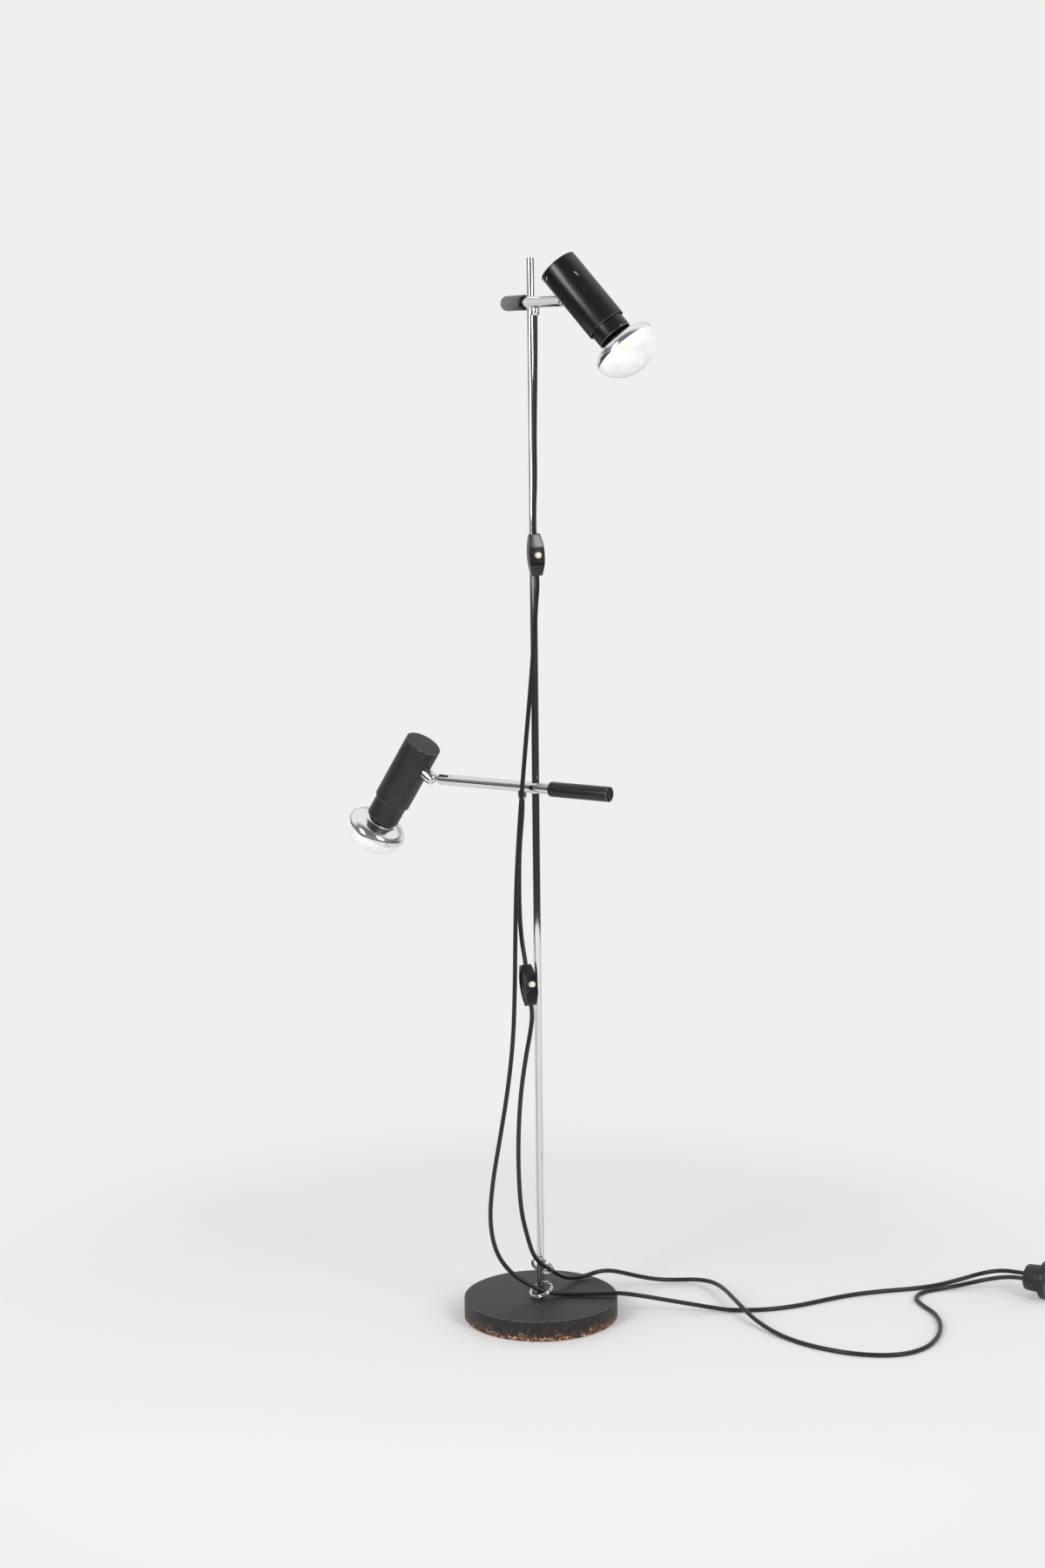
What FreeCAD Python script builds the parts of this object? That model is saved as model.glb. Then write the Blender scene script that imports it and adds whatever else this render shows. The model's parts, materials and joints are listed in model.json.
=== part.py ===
"""Free-standing floor lamp with two ball-jointed spots on a chrome pole.

Millimetres, +Z up. The origin is the centre of the base's underside, +X is to the right of the
front view and +Y is away from it. Each lamp hangs on a cross-drilled arm that slides and turns on
the pole, and its lead runs down to an inline switch, through a ring at the pole's foot and on to
a common plug.
"""

import FreeCAD, Part
import math
import os

os.makedirs("parts", exist_ok=True)
Vector = FreeCAD.Vector
X_AXIS = Vector(1, 0, 0)
Y_AXIS = Vector(0, 1, 0)
Z_AXIS = Vector(0, 0, 1)

# ---- driving dimensions -------------------------------------------------------------------------

# weighted base
BASE_RADIUS = 101.0
BASE_TOP = 27.0
BASE_EDGE = 1.0
BASE_LIFT = 0.6            # the iron stands this far off the floor, on its felt
FELT_RADIUS = 94.0
FELT_THICKNESS = 3.0
NUT_POCKET_RADIUS = 17.0
NUT_POCKET_DEPTH = 11.0

# pole and its fixing
POLE_RADIUS = 5.0
POLE_TOP = 1373.0
POLE_CHAMFER = 0.8
STUD_RADIUS = 4.0
STUD_END = 5.0             # height of the stud's lower end
WASHER_RADIUS = 12.0
WASHER_THICKNESS = 1.6
NUT_ACROSS_FLATS = 13.0
NUT_THICKNESS = 6.5

# split rings that gather the leads at the pole's foot
RING_RADIUS = 15.0         # to the middle of the wire
RING_WIRE_RADIUS = 1.25
RING_WIRE_SIDES = 8        # the wire is drawn with flats, and its two turns lie flat on flat
RING_SLIT = 0.8
RING_SLIT_TURN = 20.0      # from the lean's axis to each turn's cut end, one each way
UPPER_RING_CENTRE = Vector(2.5, -1.6, 67.5)
UPPER_RING_LEAN = 56.0     # from level, in degrees; it jams on the pole
UPPER_RING_LEAN_AZIMUTH = 57.0
LOWER_RING_CENTRE = Vector(0.5, -3.5, 35.6)
LOWER_RING_LEAN = 24.0
LOWER_RING_LEAN_AZIMUTH = 210.0

# arm
ARM_RADIUS = 7.0
ARM_WALL = 1.4
ARM_LENGTH = 161.0         # pole axis to ball centre
ARM_END_GAP = 13.8         # arm tube's end to ball centre
ARM_CHAMFER = 0.6
ARM_TAIL = 70.0            # tube behind the pole axis, into the grip
GRIP_RADIUS = 9.75
GRIP_START = 22.0
GRIP_LENGTH = 88.0
GRIP_FRONT_ROUND = 2.6
GRIP_BACK_EDGE = 0.6
BUSH_WALL = 0.5
BUSH_HEIGHT = 13.0
BUSH_SLIT = 1.2
SHOE_LENGTH = 8.0
BRAKE_SCREW_LENGTH = 10.0
BRAKE_SLOT_WIDTH = 1.6
BRAKE_SLOT_DEPTH = 2.5

# lead outlet under the arm
NIPPLE_OFFSET = 20.3       # from the pole axis, towards the ball
NIPPLE_RADIUS = 5.75
NIPPLE_HEIGHT = 9.0
NIPPLE_TAPER = 3.0
NIPPLE_END_RADIUS = 4.6
WIRE_WAY_RADIUS = 2.0      # bore for the inner wires

# ball joint
BALL_RADIUS = 7.75
NECK_RADIUS = 3.2
NECK_HEAD_RADIUS = 4.6
NECK_HEAD_LENGTH = 3.0
END_PLUG_LENGTH = 9.0
END_PLUG_NOSE = 2.2
END_PLUG_NOSE_RADIUS = 4.8
SOCKET_RADIUS = 8.9
SOCKET_LIP_RADIUS = 8.4
SOCKET_LIP_REACH = 3.0     # how far the lip passes the ball's centre
SOCKET_LIP_EDGE = 0.5
SEAT_RADIUS = 6.5
SEAT_DEPTH = 9.0           # ball centre to the back of the seat
SOCKET_STEM_RADIUS = 5.0
SOCKET_NUT_RADIUS = 8.0
SOCKET_NUT_THICKNESS = 2.6

# spot head
HEAD_RADIUS = 24.25
HEAD_WALL = 1.5
HEAD_LENGTH = 93.5
HEAD_FOOT = 31.5           # cap face to the ball, along the tube
HEAD_OFFSET = 34.5         # ball to the tube's axis
CAP_THICKNESS = 2.0
CAP_EDGE = 0.5
CAP_SPIGOT = 5.0
CAP_SPIGOT_WALL = 2.0

# sleeve that slides out of the head with the lampholder and bulb
SLEEVE_RADIUS = 21.6
SLEEVE_WALL = 1.3
SLEEVE_LENGTH = 60.0
SLEEVE_BEAD_WIDTH = 4.0

# lampholder for a 27 mm screw cap
HOLDER_RADIUS = 18.4
HOLDER_DEPTH = 62.0        # sleeve mouth to the holder's shoulder
HOLDER_MOUTH = 32.5        # sleeve mouth to the holder's rim
HOLDER_FLANGE_THICKNESS = 4.0
HOLDER_DOME_RADIUS = 12.0
HOLDER_DOME_LENGTH = 6.0
SCREW_SHELL_WALL = 0.5
SCREW_SHELL_LENGTH = 23.0

# 80 mm reflector bulb, measured from the sleeve's mouth
BULB_RADIUS = 40.0
BULB_EQUATOR = 19.5
BULB_FRONT = 31.0          # equator to the front of the dome
BULB_BACK = 17.0           # depth of the silvered back
BULB_FRONT_RIM = 24.0      # radius of the dome where it meets the widest ring
BULB_BACK_RIM = 12.0
BULB_NECK_RADIUS = 17.4
BULB_NECK_BLEND = 5.0
BULB_SHOULDER_RADIUS = 12.6
BULB_SHOULDER_LENGTH = 7.0
BULB_WALL = 0.9
BULB_INSIDE_STEPS = (3, 2, 2, 1, 2, 1, 1)    # straight steps of the inside under each outside piece
BULB_CAP_TOP = 31.5
BULB_CAP_LENGTH = 26.0
BULB_CAP_RADIUS = 13.1
BULB_CONTACT_RADIUS = 5.0
BULB_CONTACT_LENGTH = 2.5

# inline switch
SWITCH_LENGTH = 53.0
SWITCH_WIDTH = 20.5
SWITCH_END_WIDTH = 13.0
SWITCH_FRONT = 6.5         # seam to the flat front
SWITCH_BACK = 8.0          # seam to the crown of the back
SWITCH_FACET_START = 12.5  # middle of the switch to the start of an end facet
SWITCH_FACET_DROP = 3.4
SWITCH_EDGE = 0.8
SWITCH_BACK_ROUND = 4.0
SWITCH_CHAMBER_RADIUS = 6.2
SWITCH_CHAMBER_DEPTH = 5.5
BEZEL_RADIUS = 6.9
BEZEL_HEIGHT = 1.2
BEZEL_SEAT = 0.8           # how deep the bezel sits in the front shell
BUTTON_RADIUS = 3.9
BUTTON_PROUD = 6.5
BUTTON_HEAD_RADIUS = 4.9
BUTTON_HEAD_THICKNESS = 1.2

# leads and plug
CORD_RADIUS = 2.9
PLUG_FACE_CENTRE = Vector(651.0, 58.5, 26.0)
PLUG_AZIMUTH = -33.0
PLUG_INLET_OFFSET = 10.0
PLUG_COVER_RADIUS = 18.5
PLUG_COVER_END_RADIUS = 17.0
PLUG_COVER_LENGTH = 23.0
PLUG_COVER_ROUND = 3.0
PLUG_FLANGE_RADIUS = 25.6
PLUG_FLANGE_LENGTH = 10.0
PLUG_FLANGE_ROUND = 1.5
PLUG_PIN_RADIUS = 2.4
PLUG_PIN_LENGTH = 19.0
PLUG_PIN_SPACING = 19.0
PLUG_PIN_ROOT = 6.0
PLUG_PIN_ROOT_RADIUS = 1.9

# named clearances
RUNNING_FIT = 0.05         # radial, where one body turns or slides in another
FIXED_FIT = 0.05           # radial, between pieces that are screwed or glued together
BALL_FIT = 0.05            # ball to its seat
SOCKET_FIT = 0.08          # ball to the socket's wall
BUTTON_FIT = 0.1
HOLE_CLEARANCE = 0.2       # round a stud in its hole
AIR = 0.3                  # between moving pieces that aren't a fit

# how each lamp stands in the front view
LAMPS = {
    "upper": {"height": 1318.0, "azimuth": -74.4, "tilt": 29.0, "spin": 31.0, "sleeve_out": 16.5},
    "lower": {"height": 705.5, "azimuth": 148.0, "tilt": 33.1, "spin": 0.0, "sleeve_out": 30.0},
}

# where each switch hangs: middle, the direction of its upper end, and where its front looks
SWITCHES = {
    "upper": {"middle": Vector(3.0, -16.0, 1005.0), "up": Vector(-0.055, 0.0, 1.0),
              "front": Vector(0.34, -0.94, 0.0)},
    "lower": {"middle": Vector(-12.0, -17.5, 451.0), "up": Vector(-0.133, 0.25, 1.0),
              "front": Vector(0.5, -0.83, 0.27)},
}

# lead routes: the points between the outlet under the arm, the switch and the plug
LEAD_IN = 12.0             # straight length out of an outlet, a switch or the plug
BEND_SHARE = 0.45          # part of the shorter run that a bend takes up on each side of its point
DROP_ROUTES = {
    "upper": [
        (5.2, -18.6, 1262), (4.3, -17.2, 1212), (2.9, -16.0, 1152), (3.3, -15.6, 1100),
        (1.4, -16.2, 1062),
    ],
    "lower": [
        (-18.4, 9.4, 661), (-21.9, 8.4, 622), (-22.9, 5.6, 578), (-22.4, 1.4, 536),
        (-19.9, -3.6, 505),
    ],
}
RUN_ROUTES = {
    "upper": [
        (2.9, -15.4, 944), (0.4, -14.0, 905), (-4.4, -11.6, 845), (-10.2, -9.8, 785),
        (-16.0, -9.4, 722), (-21.2, -10.6, 660), (-25.8, -12.6, 592), (-28.0, -14.2, 522),
        (-29.4, -15.0, 452), (-32.0, -15.6, 382), (-39.4, -16.0, 316), (-50.4, -16.2, 250),
        (-61.2, -16.0, 190), (-66.4, -15.4, 136), (-59.4, -14.0, 92), (-41.0, -12.6, 64),
        (-20.0, -10.8, 48), (-1.0, -9.8, 37.6), (15.0, -6.0, 31.6), (34.0, -4.6, 30.1),
        (62.0, -5.6, 30.4), (88.0, -6.6, 31.4), (106.0, -6.6, 31.2), (132.0, -5.0, 26.8),
        (160.0, -2.2, 20.6), (190.0, 0.4, 14.2), (222.0, 1.0, 8.0), (248.0, 0.8, 3.8),
        (272.0, 1.8, 3.0), (306.0, 5.0, 3.0), (347.0, 20.0, 3.0), (386.0, 43.0, 3.0),
        (424.0, 61.0, 3.0), (464.0, 72.0, 3.0), (504.0, 79.5, 3.0), (540.0, 93.0, 3.2),
        (572.0, 106.0, 6.6), (599.0, 109.0, 13.5), (624.0, 99.0, 21.0),
    ],
    "lower": [
        (-9.9, -29.8, 392), (-16.8, -30.2, 356), (-23.8, -25.0, 306), (-27.2, -19.0, 252),
        (-27.6, -15.0, 198), (-25.0, -16.2, 150), (-18.6, -22.0, 121), (-7.9, -29.0, 85.6),
        (18.9, 15.2, 52.9), (31.0, 38.0, 38.4), (45.0, 55.0, 30.6), (61.0, 64.0, 31.2),
        (77.0, 68.6, 35.0), (92.0, 74.0, 34.6), (108.0, 82.4, 29.0), (132.0, 95.0, 18.5),
        (160.0, 106.0, 9.6), (188.0, 111.0, 7.4), (214.0, 107.0, 9.2), (234.0, 86.0, 12.4),
        (246.0, 52.0, 14.4), (255.0, 16.0, 14.8), (265.0, -20.0, 14.0), (281.0, -54.0, 7.4),
        (309.0, -97.0, 3.0), (348.0, -136.0, 3.0), (398.0, -163.0, 3.0), (449.0, -168.0, 3.0),
        (487.0, -146.0, 3.0), (510.0, -104.0, 3.0), (520.0, -58.0, 3.4), (518.0, -18.0, 3.4),
        (506.0, 12.0, 3.0), (499.0, 40.0, 3.0), (510.0, 64.0, 3.0), (536.0, 77.0, 3.2),
        (566.0, 82.0, 6.0), (594.0, 80.0, 13.4), (617.0, 69.0, 21.4),
    ],
}


# ---- small tools --------------------------------------------------------------------------------

def save(name, shape):
    """Write one sub-part to its own file."""
    shape.exportStep(f"parts/{name}.step")


def rod(radius, start, end, axis=Z_AXIS):
    """A round bar along an axis through the origin, from start to end."""
    return Part.makeCylinder(radius, end - start, axis * start, axis)


def turned(outline, axis=Z_AXIS):
    """A turned piece: (distance along the axis, radius) pairs joined by straight lines."""
    side = X_AXIS if axis != X_AXIS else Z_AXIS
    points = [axis * along + side * radius for along, radius in outline]
    face = Part.Face(Part.makePolygon(points + points[:1]))
    return face.revolve(Vector(0, 0, 0), axis, 360)


def edges_on(shape, test):
    """The edges of a shape whose middle passes the test."""
    return [e for e in shape.Edges if test(e.CenterOfMass, e)]


def placed(shape, placement):
    """A copy of a shape, moved to its place."""
    moved = shape.copy()
    moved.Placement = placement.multiply(moved.Placement)
    return moved


def rotation(axis, degrees):
    return FreeCAD.Placement(Vector(0, 0, 0), FreeCAD.Rotation(axis, degrees))


def arm_frame(lamp):
    """Arm frame: origin on the pole's axis, +X from the pole to the ball."""
    shift = FreeCAD.Placement(Vector(0, 0, lamp["height"]), FreeCAD.Rotation())
    return shift.multiply(rotation(Z_AXIS, lamp["azimuth"]))


def head_frame(lamp):
    """Head frame: origin at the ball, +X to the tube's axis, +Z along the tube to its cap."""
    to_ball = FreeCAD.Placement(Vector(ARM_LENGTH, 0, 0), FreeCAD.Rotation())
    turn = rotation(Y_AXIS, -lamp["tilt"]).multiply(rotation(X_AXIS, lamp["spin"]))
    return arm_frame(lamp).multiply(to_ball).multiply(turn)


def sleeve_frame(lamp):
    """Sleeve frame: origin at the middle of the sleeve's mouth, +Z out of the mouth."""
    mouth = HEAD_LENGTH - HEAD_FOOT + lamp["sleeve_out"]
    to_mouth = FreeCAD.Placement(Vector(HEAD_OFFSET, 0, -mouth), FreeCAD.Rotation(X_AXIS, 180))
    return head_frame(lamp).multiply(to_mouth)


def switch_frame(switch):
    """Switch frame: origin at its middle, +Z to its upper end, +Y out of its front."""
    up = Vector(switch["up"]).normalize()
    front = (switch["front"] - up * switch["front"].dot(up)).normalize()
    side = front.cross(up)
    matrix = FreeCAD.Matrix(side.x, front.x, up.x, 0, side.y, front.y, up.y, 0, side.z, front.z, up.z, 0)
    return FreeCAD.Placement(switch["middle"], FreeCAD.Placement(matrix).Rotation)


def plug_frame():
    """Plug frame: origin at the face where the leads go in, +X to the tips of the pins."""
    shift = FreeCAD.Placement(PLUG_FACE_CENTRE, FreeCAD.Rotation())
    return shift.multiply(rotation(Z_AXIS, PLUG_AZIMUTH))


# ---- base and pole ------------------------------------------------------------------------------

def base_disc():
    """Cast disc with a shallow recess for the felt and a pocket for the pole's nut."""
    disc = rod(BASE_RADIUS, BASE_LIFT, BASE_TOP)
    rims = edges_on(disc, lambda c, e: e.Curve.TypeId == "Part::GeomCircle")
    disc = disc.makeFillet(BASE_EDGE, [rim for rim in rims if rim.CenterOfMass.z > BASE_TOP / 2])
    disc = disc.makeChamfer(BASE_EDGE, edges_on(disc, lambda c, e: c.z < BASE_LIFT + 0.01
                                                and e.Curve.TypeId == "Part::GeomCircle"))
    recess = rod(FELT_RADIUS, 0, FELT_THICKNESS)
    pocket = rod(NUT_POCKET_RADIUS, 0, FELT_THICKNESS + NUT_POCKET_DEPTH)
    hole = rod(STUD_RADIUS + HOLE_CLEARANCE, 0, BASE_TOP)
    return disc.cut(recess).cut(pocket).cut(hole)


def base_felt():
    """Disc that fills the recess and stands on the floor."""
    return rod(FELT_RADIUS - AIR, 0, FELT_THICKNESS)


def pole():
    """Round rod whose shoulder stands on the base, with a thinner stud through it."""
    bar = rod(POLE_RADIUS, BASE_TOP, POLE_TOP)
    bar = bar.makeChamfer(POLE_CHAMFER, edges_on(bar, lambda c, e: c.z > POLE_TOP - POLE_CHAMFER))
    return bar.fuse(rod(STUD_RADIUS, STUD_END, BASE_TOP)).removeSplitter()


def hexagon_prism(across_flats, start, end):
    radius = across_flats / math.sqrt(3)
    corners = [Vector(radius * math.cos(k * math.pi / 3), radius * math.sin(k * math.pi / 3), start)
               for k in range(6)]
    return Part.Face(Part.makePolygon(corners + corners[:1])).extrude(Z_AXIS * (end - start))


def pole_fixing():
    """Washer and nut under the base."""
    ceiling = FELT_THICKNESS + NUT_POCKET_DEPTH
    hole = rod(STUD_RADIUS + FIXED_FIT, 0, BASE_TOP)
    washer = rod(WASHER_RADIUS, ceiling - WASHER_THICKNESS, ceiling).cut(hole)
    nut_top = ceiling - WASHER_THICKNESS
    nut = hexagon_prism(NUT_ACROSS_FLATS, nut_top - NUT_THICKNESS, nut_top).cut(hole)
    return washer, nut


def split_ring(centre, lean, azimuth):
    """Two turns of wire, flat on flat, leaning towards an azimuth, each with its cut end."""
    half_side = math.pi / RING_WIRE_SIDES
    flat = RING_WIRE_RADIUS * math.cos(half_side)
    turns = []
    for middle in (-flat, flat):
        corners = [(2 * k + 1) * half_side for k in range(RING_WIRE_SIDES)]
        section = [(middle + RING_WIRE_RADIUS * math.cos(a), RING_RADIUS + RING_WIRE_RADIUS * math.sin(a))
                   for a in corners]
        turns.append(turned(section))
    slits = []
    for side, degrees in ((-1, RING_SLIT_TURN), (1, -RING_SLIT_TURN)):
        low = min(0.0, side * 2 * flat)
        slit = Part.makeBox(4 * RING_WIRE_RADIUS, RING_SLIT, 2 * flat)
        slit.translate(Vector(RING_RADIUS - 2 * RING_WIRE_RADIUS, -RING_SLIT / 2, low))
        slits.append(placed(slit, rotation(Z_AXIS, degrees)))
    ring = turns[0].cut(slits[0]).fuse(turns[1].cut(slits[1]))
    lean_axis = Vector(-math.sin(math.radians(azimuth)), math.cos(math.radians(azimuth)), 0)
    return placed(ring, FreeCAD.Placement(centre, FreeCAD.Rotation(lean_axis, lean)))


# ---- arm ----------------------------------------------------------------------------------------

BUSH_RADIUS = POLE_RADIUS + RUNNING_FIT + BUSH_WALL
CROSS_BORE = BUSH_RADIUS + RUNNING_FIT
ARM_BORE = ARM_RADIUS - ARM_WALL
ARM_END = ARM_LENGTH - ARM_END_GAP
CORD_EXIT_DROP = ARM_RADIUS + NIPPLE_HEIGHT


def pole_bush():
    """Split plastic liner between the pole and the arm's cross bore."""
    half = BUSH_HEIGHT / 2
    bush = rod(BUSH_RADIUS, -half, half).cut(rod(POLE_RADIUS + RUNNING_FIT, -half, half))
    slit = Part.makeBox(2 * BUSH_RADIUS, BUSH_SLIT, BUSH_HEIGHT, Vector(0, -BUSH_SLIT / 2, -half))
    return bush.cut(slit)


def arm_tube():
    """Tube with a cross bore for the pole and a small hole under it for the wires."""
    tube = rod(ARM_RADIUS, -ARM_TAIL, ARM_END, X_AXIS)
    tube = tube.makeChamfer(ARM_CHAMFER, edges_on(tube, lambda c, e: c.x > ARM_END - ARM_CHAMFER))
    tube = tube.cut(rod(ARM_BORE, -ARM_TAIL, ARM_END, X_AXIS))
    tube = tube.cut(rod(CROSS_BORE, -ARM_RADIUS, ARM_RADIUS))
    outlet = Part.makeCylinder(WIRE_WAY_RADIUS, ARM_RADIUS, Vector(NIPPLE_OFFSET, 0, -ARM_RADIUS))
    return tube.cut(outlet)


def arm_grip():
    """Turned handle over the arm's tail, closed at its far end."""
    end = -GRIP_START - GRIP_LENGTH
    grip = rod(GRIP_RADIUS, end, -GRIP_START, X_AXIS)
    grip = grip.makeFillet(GRIP_FRONT_ROUND, edges_on(grip, lambda c, e: c.x > -GRIP_START - 1))
    grip = grip.makeChamfer(GRIP_BACK_EDGE, edges_on(grip, lambda c, e: c.x < end + 1))
    return grip.cut(rod(ARM_RADIUS + FIXED_FIT, -ARM_TAIL - AIR, 0, X_AXIS))


def brake_parts():
    """Shoe that presses on the bush, and the slotted screw behind it."""
    back = -CROSS_BORE - SHOE_LENGTH
    shoe = rod(ARM_BORE - FIXED_FIT, back, 0, X_AXIS)
    shoe = shoe.cut(rod(CROSS_BORE, -ARM_RADIUS, ARM_RADIUS))
    end = back - BRAKE_SCREW_LENGTH
    screw = rod(ARM_BORE - FIXED_FIT, end, back, X_AXIS)
    slot = Part.makeBox(BRAKE_SLOT_DEPTH, BRAKE_SLOT_WIDTH, 2 * ARM_BORE,
                        Vector(end, -BRAKE_SLOT_WIDTH / 2, -ARM_BORE))
    return shoe, screw.cut(slot)


def arm_end_plug():
    """Turned bush in the arm's mouth that carries the ball's neck."""
    start = ARM_END - END_PLUG_LENGTH
    outline = [(start, ARM_BORE - FIXED_FIT), (ARM_END, ARM_BORE - FIXED_FIT),
               (ARM_END, ARM_RADIUS - ARM_CHAMFER), (ARM_END + END_PLUG_NOSE, END_PLUG_NOSE_RADIUS),
               (ARM_END + END_PLUG_NOSE, NECK_RADIUS + RUNNING_FIT), (start, NECK_RADIUS + RUNNING_FIT)]
    return turned(outline, X_AXIS)


def cord_nipple():
    """Turned outlet under the arm, saddled to its tube, with a taper round the lead."""
    top = -ARM_RADIUS
    bottom = -CORD_EXIT_DROP
    body = rod(NIPPLE_RADIUS, bottom + NIPPLE_TAPER, 0)
    taper = Part.makeCone(NIPPLE_END_RADIUS, NIPPLE_RADIUS, NIPPLE_TAPER, Vector(0, 0, bottom))
    nipple = body.fuse(taper).removeSplitter()
    nipple = nipple.cut(rod(WIRE_WAY_RADIUS, bottom, -top))
    nipple.translate(X_AXIS * NIPPLE_OFFSET)
    return nipple.cut(rod(ARM_RADIUS, 0, 2 * NIPPLE_OFFSET, X_AXIS))


# ---- ball joint (head frame unless said) --------------------------------------------------------

SEAT_CUP_RADIUS = BALL_RADIUS + BALL_FIT
SOCKET_BORE = BALL_RADIUS + SOCKET_FIT
TUBE_WALL_AT_BALL = HEAD_OFFSET - HEAD_RADIUS
HEAD_BORE = HEAD_RADIUS - HEAD_WALL


def ball_stud():
    """Ball, neck and retaining head turned from one bar, bored for the wires (arm frame)."""
    head_front = ARM_END - END_PLUG_LENGTH - AIR
    head_back = head_front - NECK_HEAD_LENGTH
    ball = Part.makeSphere(BALL_RADIUS, X_AXIS * ARM_LENGTH, X_AXIS)
    neck = rod(NECK_RADIUS, head_back, ARM_LENGTH, X_AXIS)
    head = rod(NECK_HEAD_RADIUS, head_back, head_front, X_AXIS)
    stud = ball.fuse(neck).fuse(head)
    return stud.cut(rod(WIRE_WAY_RADIUS, head_back, ARM_LENGTH + BALL_RADIUS, X_AXIS))


def ball_seat():
    """Plastic seat behind the ball, in the socket's bore."""
    seat = rod(SEAT_RADIUS, 0, SEAT_DEPTH - BALL_FIT, X_AXIS)
    seat = seat.cut(Part.makeSphere(SEAT_CUP_RADIUS, Vector(0, 0, 0), X_AXIS))
    return seat.cut(rod(WIRE_WAY_RADIUS + AIR, 0, SEAT_DEPTH, X_AXIS))


def ball_socket():
    """Turned cup that holds the ball past its middle, saddled to the tube, with a stem into it."""
    stem_end = SOCKET_STEM_END
    cup_back = TUBE_WALL_AT_BALL + HEAD_WALL
    cup = turned([(-SOCKET_LIP_REACH, 0), (-SOCKET_LIP_REACH, SOCKET_LIP_RADIUS - SOCKET_LIP_EDGE),
                  (-SOCKET_LIP_REACH + SOCKET_LIP_EDGE, SOCKET_LIP_RADIUS), (SEAT_DEPTH, SOCKET_RADIUS),
                  (cup_back, SOCKET_RADIUS), (cup_back, 0)], X_AXIS)
    tube_solid = Part.makeCylinder(HEAD_RADIUS, HEAD_LENGTH, Vector(HEAD_OFFSET, 0, -HEAD_LENGTH / 2))
    cup = cup.cut(tube_solid).fuse(rod(SOCKET_STEM_RADIUS, SEAT_DEPTH, stem_end, X_AXIS))
    seat_edge = math.sqrt(SOCKET_BORE ** 2 - SEAT_RADIUS ** 2)
    lip_turn = 180 - math.degrees(math.acos(SOCKET_LIP_REACH / SOCKET_BORE))
    lip = arc(Vector(0, 0, 0), SOCKET_BORE, lip_turn, 90)
    rim = lip.Vertexes[0].Point
    corners = [Vector(0, 0, SOCKET_BORE), Vector(seat_edge, 0, SOCKET_BORE), Vector(seat_edge, 0, 0),
               Vector(rim.x, 0, 0), Vector(rim)]
    sides = [Part.makeLine(start, end) for start, end in zip(corners, corners[1:])]
    bore = Part.Face(Part.Wire([lip] + sides)).revolve(Vector(0, 0, 0), X_AXIS, 360)
    cup = cup.cut(bore)
    cup = cup.cut(rod(SEAT_RADIUS + RUNNING_FIT, 0, SEAT_DEPTH, X_AXIS))
    return cup.cut(rod(WIRE_WAY_RADIUS + AIR, 0, stem_end, X_AXIS)).removeSplitter()


def socket_nut():
    """Ring nut inside the tube; its rim bears on the tube's curved wall."""
    ring = rod(SOCKET_NUT_RADIUS, SOCKET_NUT_FACE, SOCKET_NUT_FACE + SOCKET_NUT_THICKNESS, X_AXIS)
    return ring.cut(rod(SOCKET_STEM_RADIUS + FIXED_FIT, 0, SOCKET_STEM_END, X_AXIS))


# the nut's rim touches the inside of the tube this far from the ball
SOCKET_NUT_FACE = HEAD_OFFSET - math.sqrt(HEAD_BORE ** 2 - SOCKET_NUT_RADIUS ** 2)
SOCKET_STEM_END = SOCKET_NUT_FACE + SOCKET_NUT_THICKNESS


# ---- spot head (head frame) ---------------------------------------------------------------------

def head_tube():
    """Thin tube, open below, with a hole for the socket's stem."""
    bottom = HEAD_FOOT - HEAD_LENGTH
    top = HEAD_FOOT - CAP_THICKNESS
    tube = rod(HEAD_RADIUS, bottom, top).cut(rod(HEAD_BORE, bottom, top))
    tube.translate(X_AXIS * HEAD_OFFSET)
    return tube.cut(rod(SOCKET_STEM_RADIUS + FIXED_FIT, 0, HEAD_OFFSET, X_AXIS))


def head_cap():
    """Flat lid with a spigot that plugs into the tube."""
    under = HEAD_FOOT - CAP_THICKNESS
    lid = rod(HEAD_RADIUS, under, HEAD_FOOT)
    lid = lid.makeChamfer(CAP_EDGE, edges_on(lid, lambda c, e: c.z > HEAD_FOOT - CAP_EDGE))
    spigot_radius = HEAD_BORE - FIXED_FIT
    spigot = rod(spigot_radius, under - CAP_SPIGOT, under)
    spigot = spigot.cut(rod(spigot_radius - CAP_SPIGOT_WALL, under - CAP_SPIGOT, under))
    cap = lid.fuse(spigot)
    cap.translate(X_AXIS * HEAD_OFFSET)
    return cap


# ---- sleeve, lampholder and bulb (sleeve frame) -------------------------------------------------

SLEEVE_BORE = SLEEVE_RADIUS - SLEEVE_WALL
SCREW_SHELL_BORE = BULB_CAP_RADIUS + FIXED_FIT
SCREW_SHELL_RADIUS = SCREW_SHELL_BORE + SCREW_SHELL_WALL
HOLDER_BORE = SCREW_SHELL_RADIUS + FIXED_FIT
BULB_CAP_NOSE = BULB_CONTACT_RADIUS + BULB_CONTACT_LENGTH


def sleeve():
    """Thin sleeve with a bead at its hidden end that runs in the head tube."""
    bead_radius = HEAD_BORE - RUNNING_FIT
    outline = [(-SLEEVE_LENGTH, SLEEVE_BORE), (0, SLEEVE_BORE), (0, SLEEVE_RADIUS),
               (SLEEVE_BEAD_WIDTH - SLEEVE_LENGTH + bead_radius - SLEEVE_RADIUS, SLEEVE_RADIUS),
               (SLEEVE_BEAD_WIDTH - SLEEVE_LENGTH, bead_radius), (-SLEEVE_LENGTH, bead_radius)]
    return turned(outline)


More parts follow.
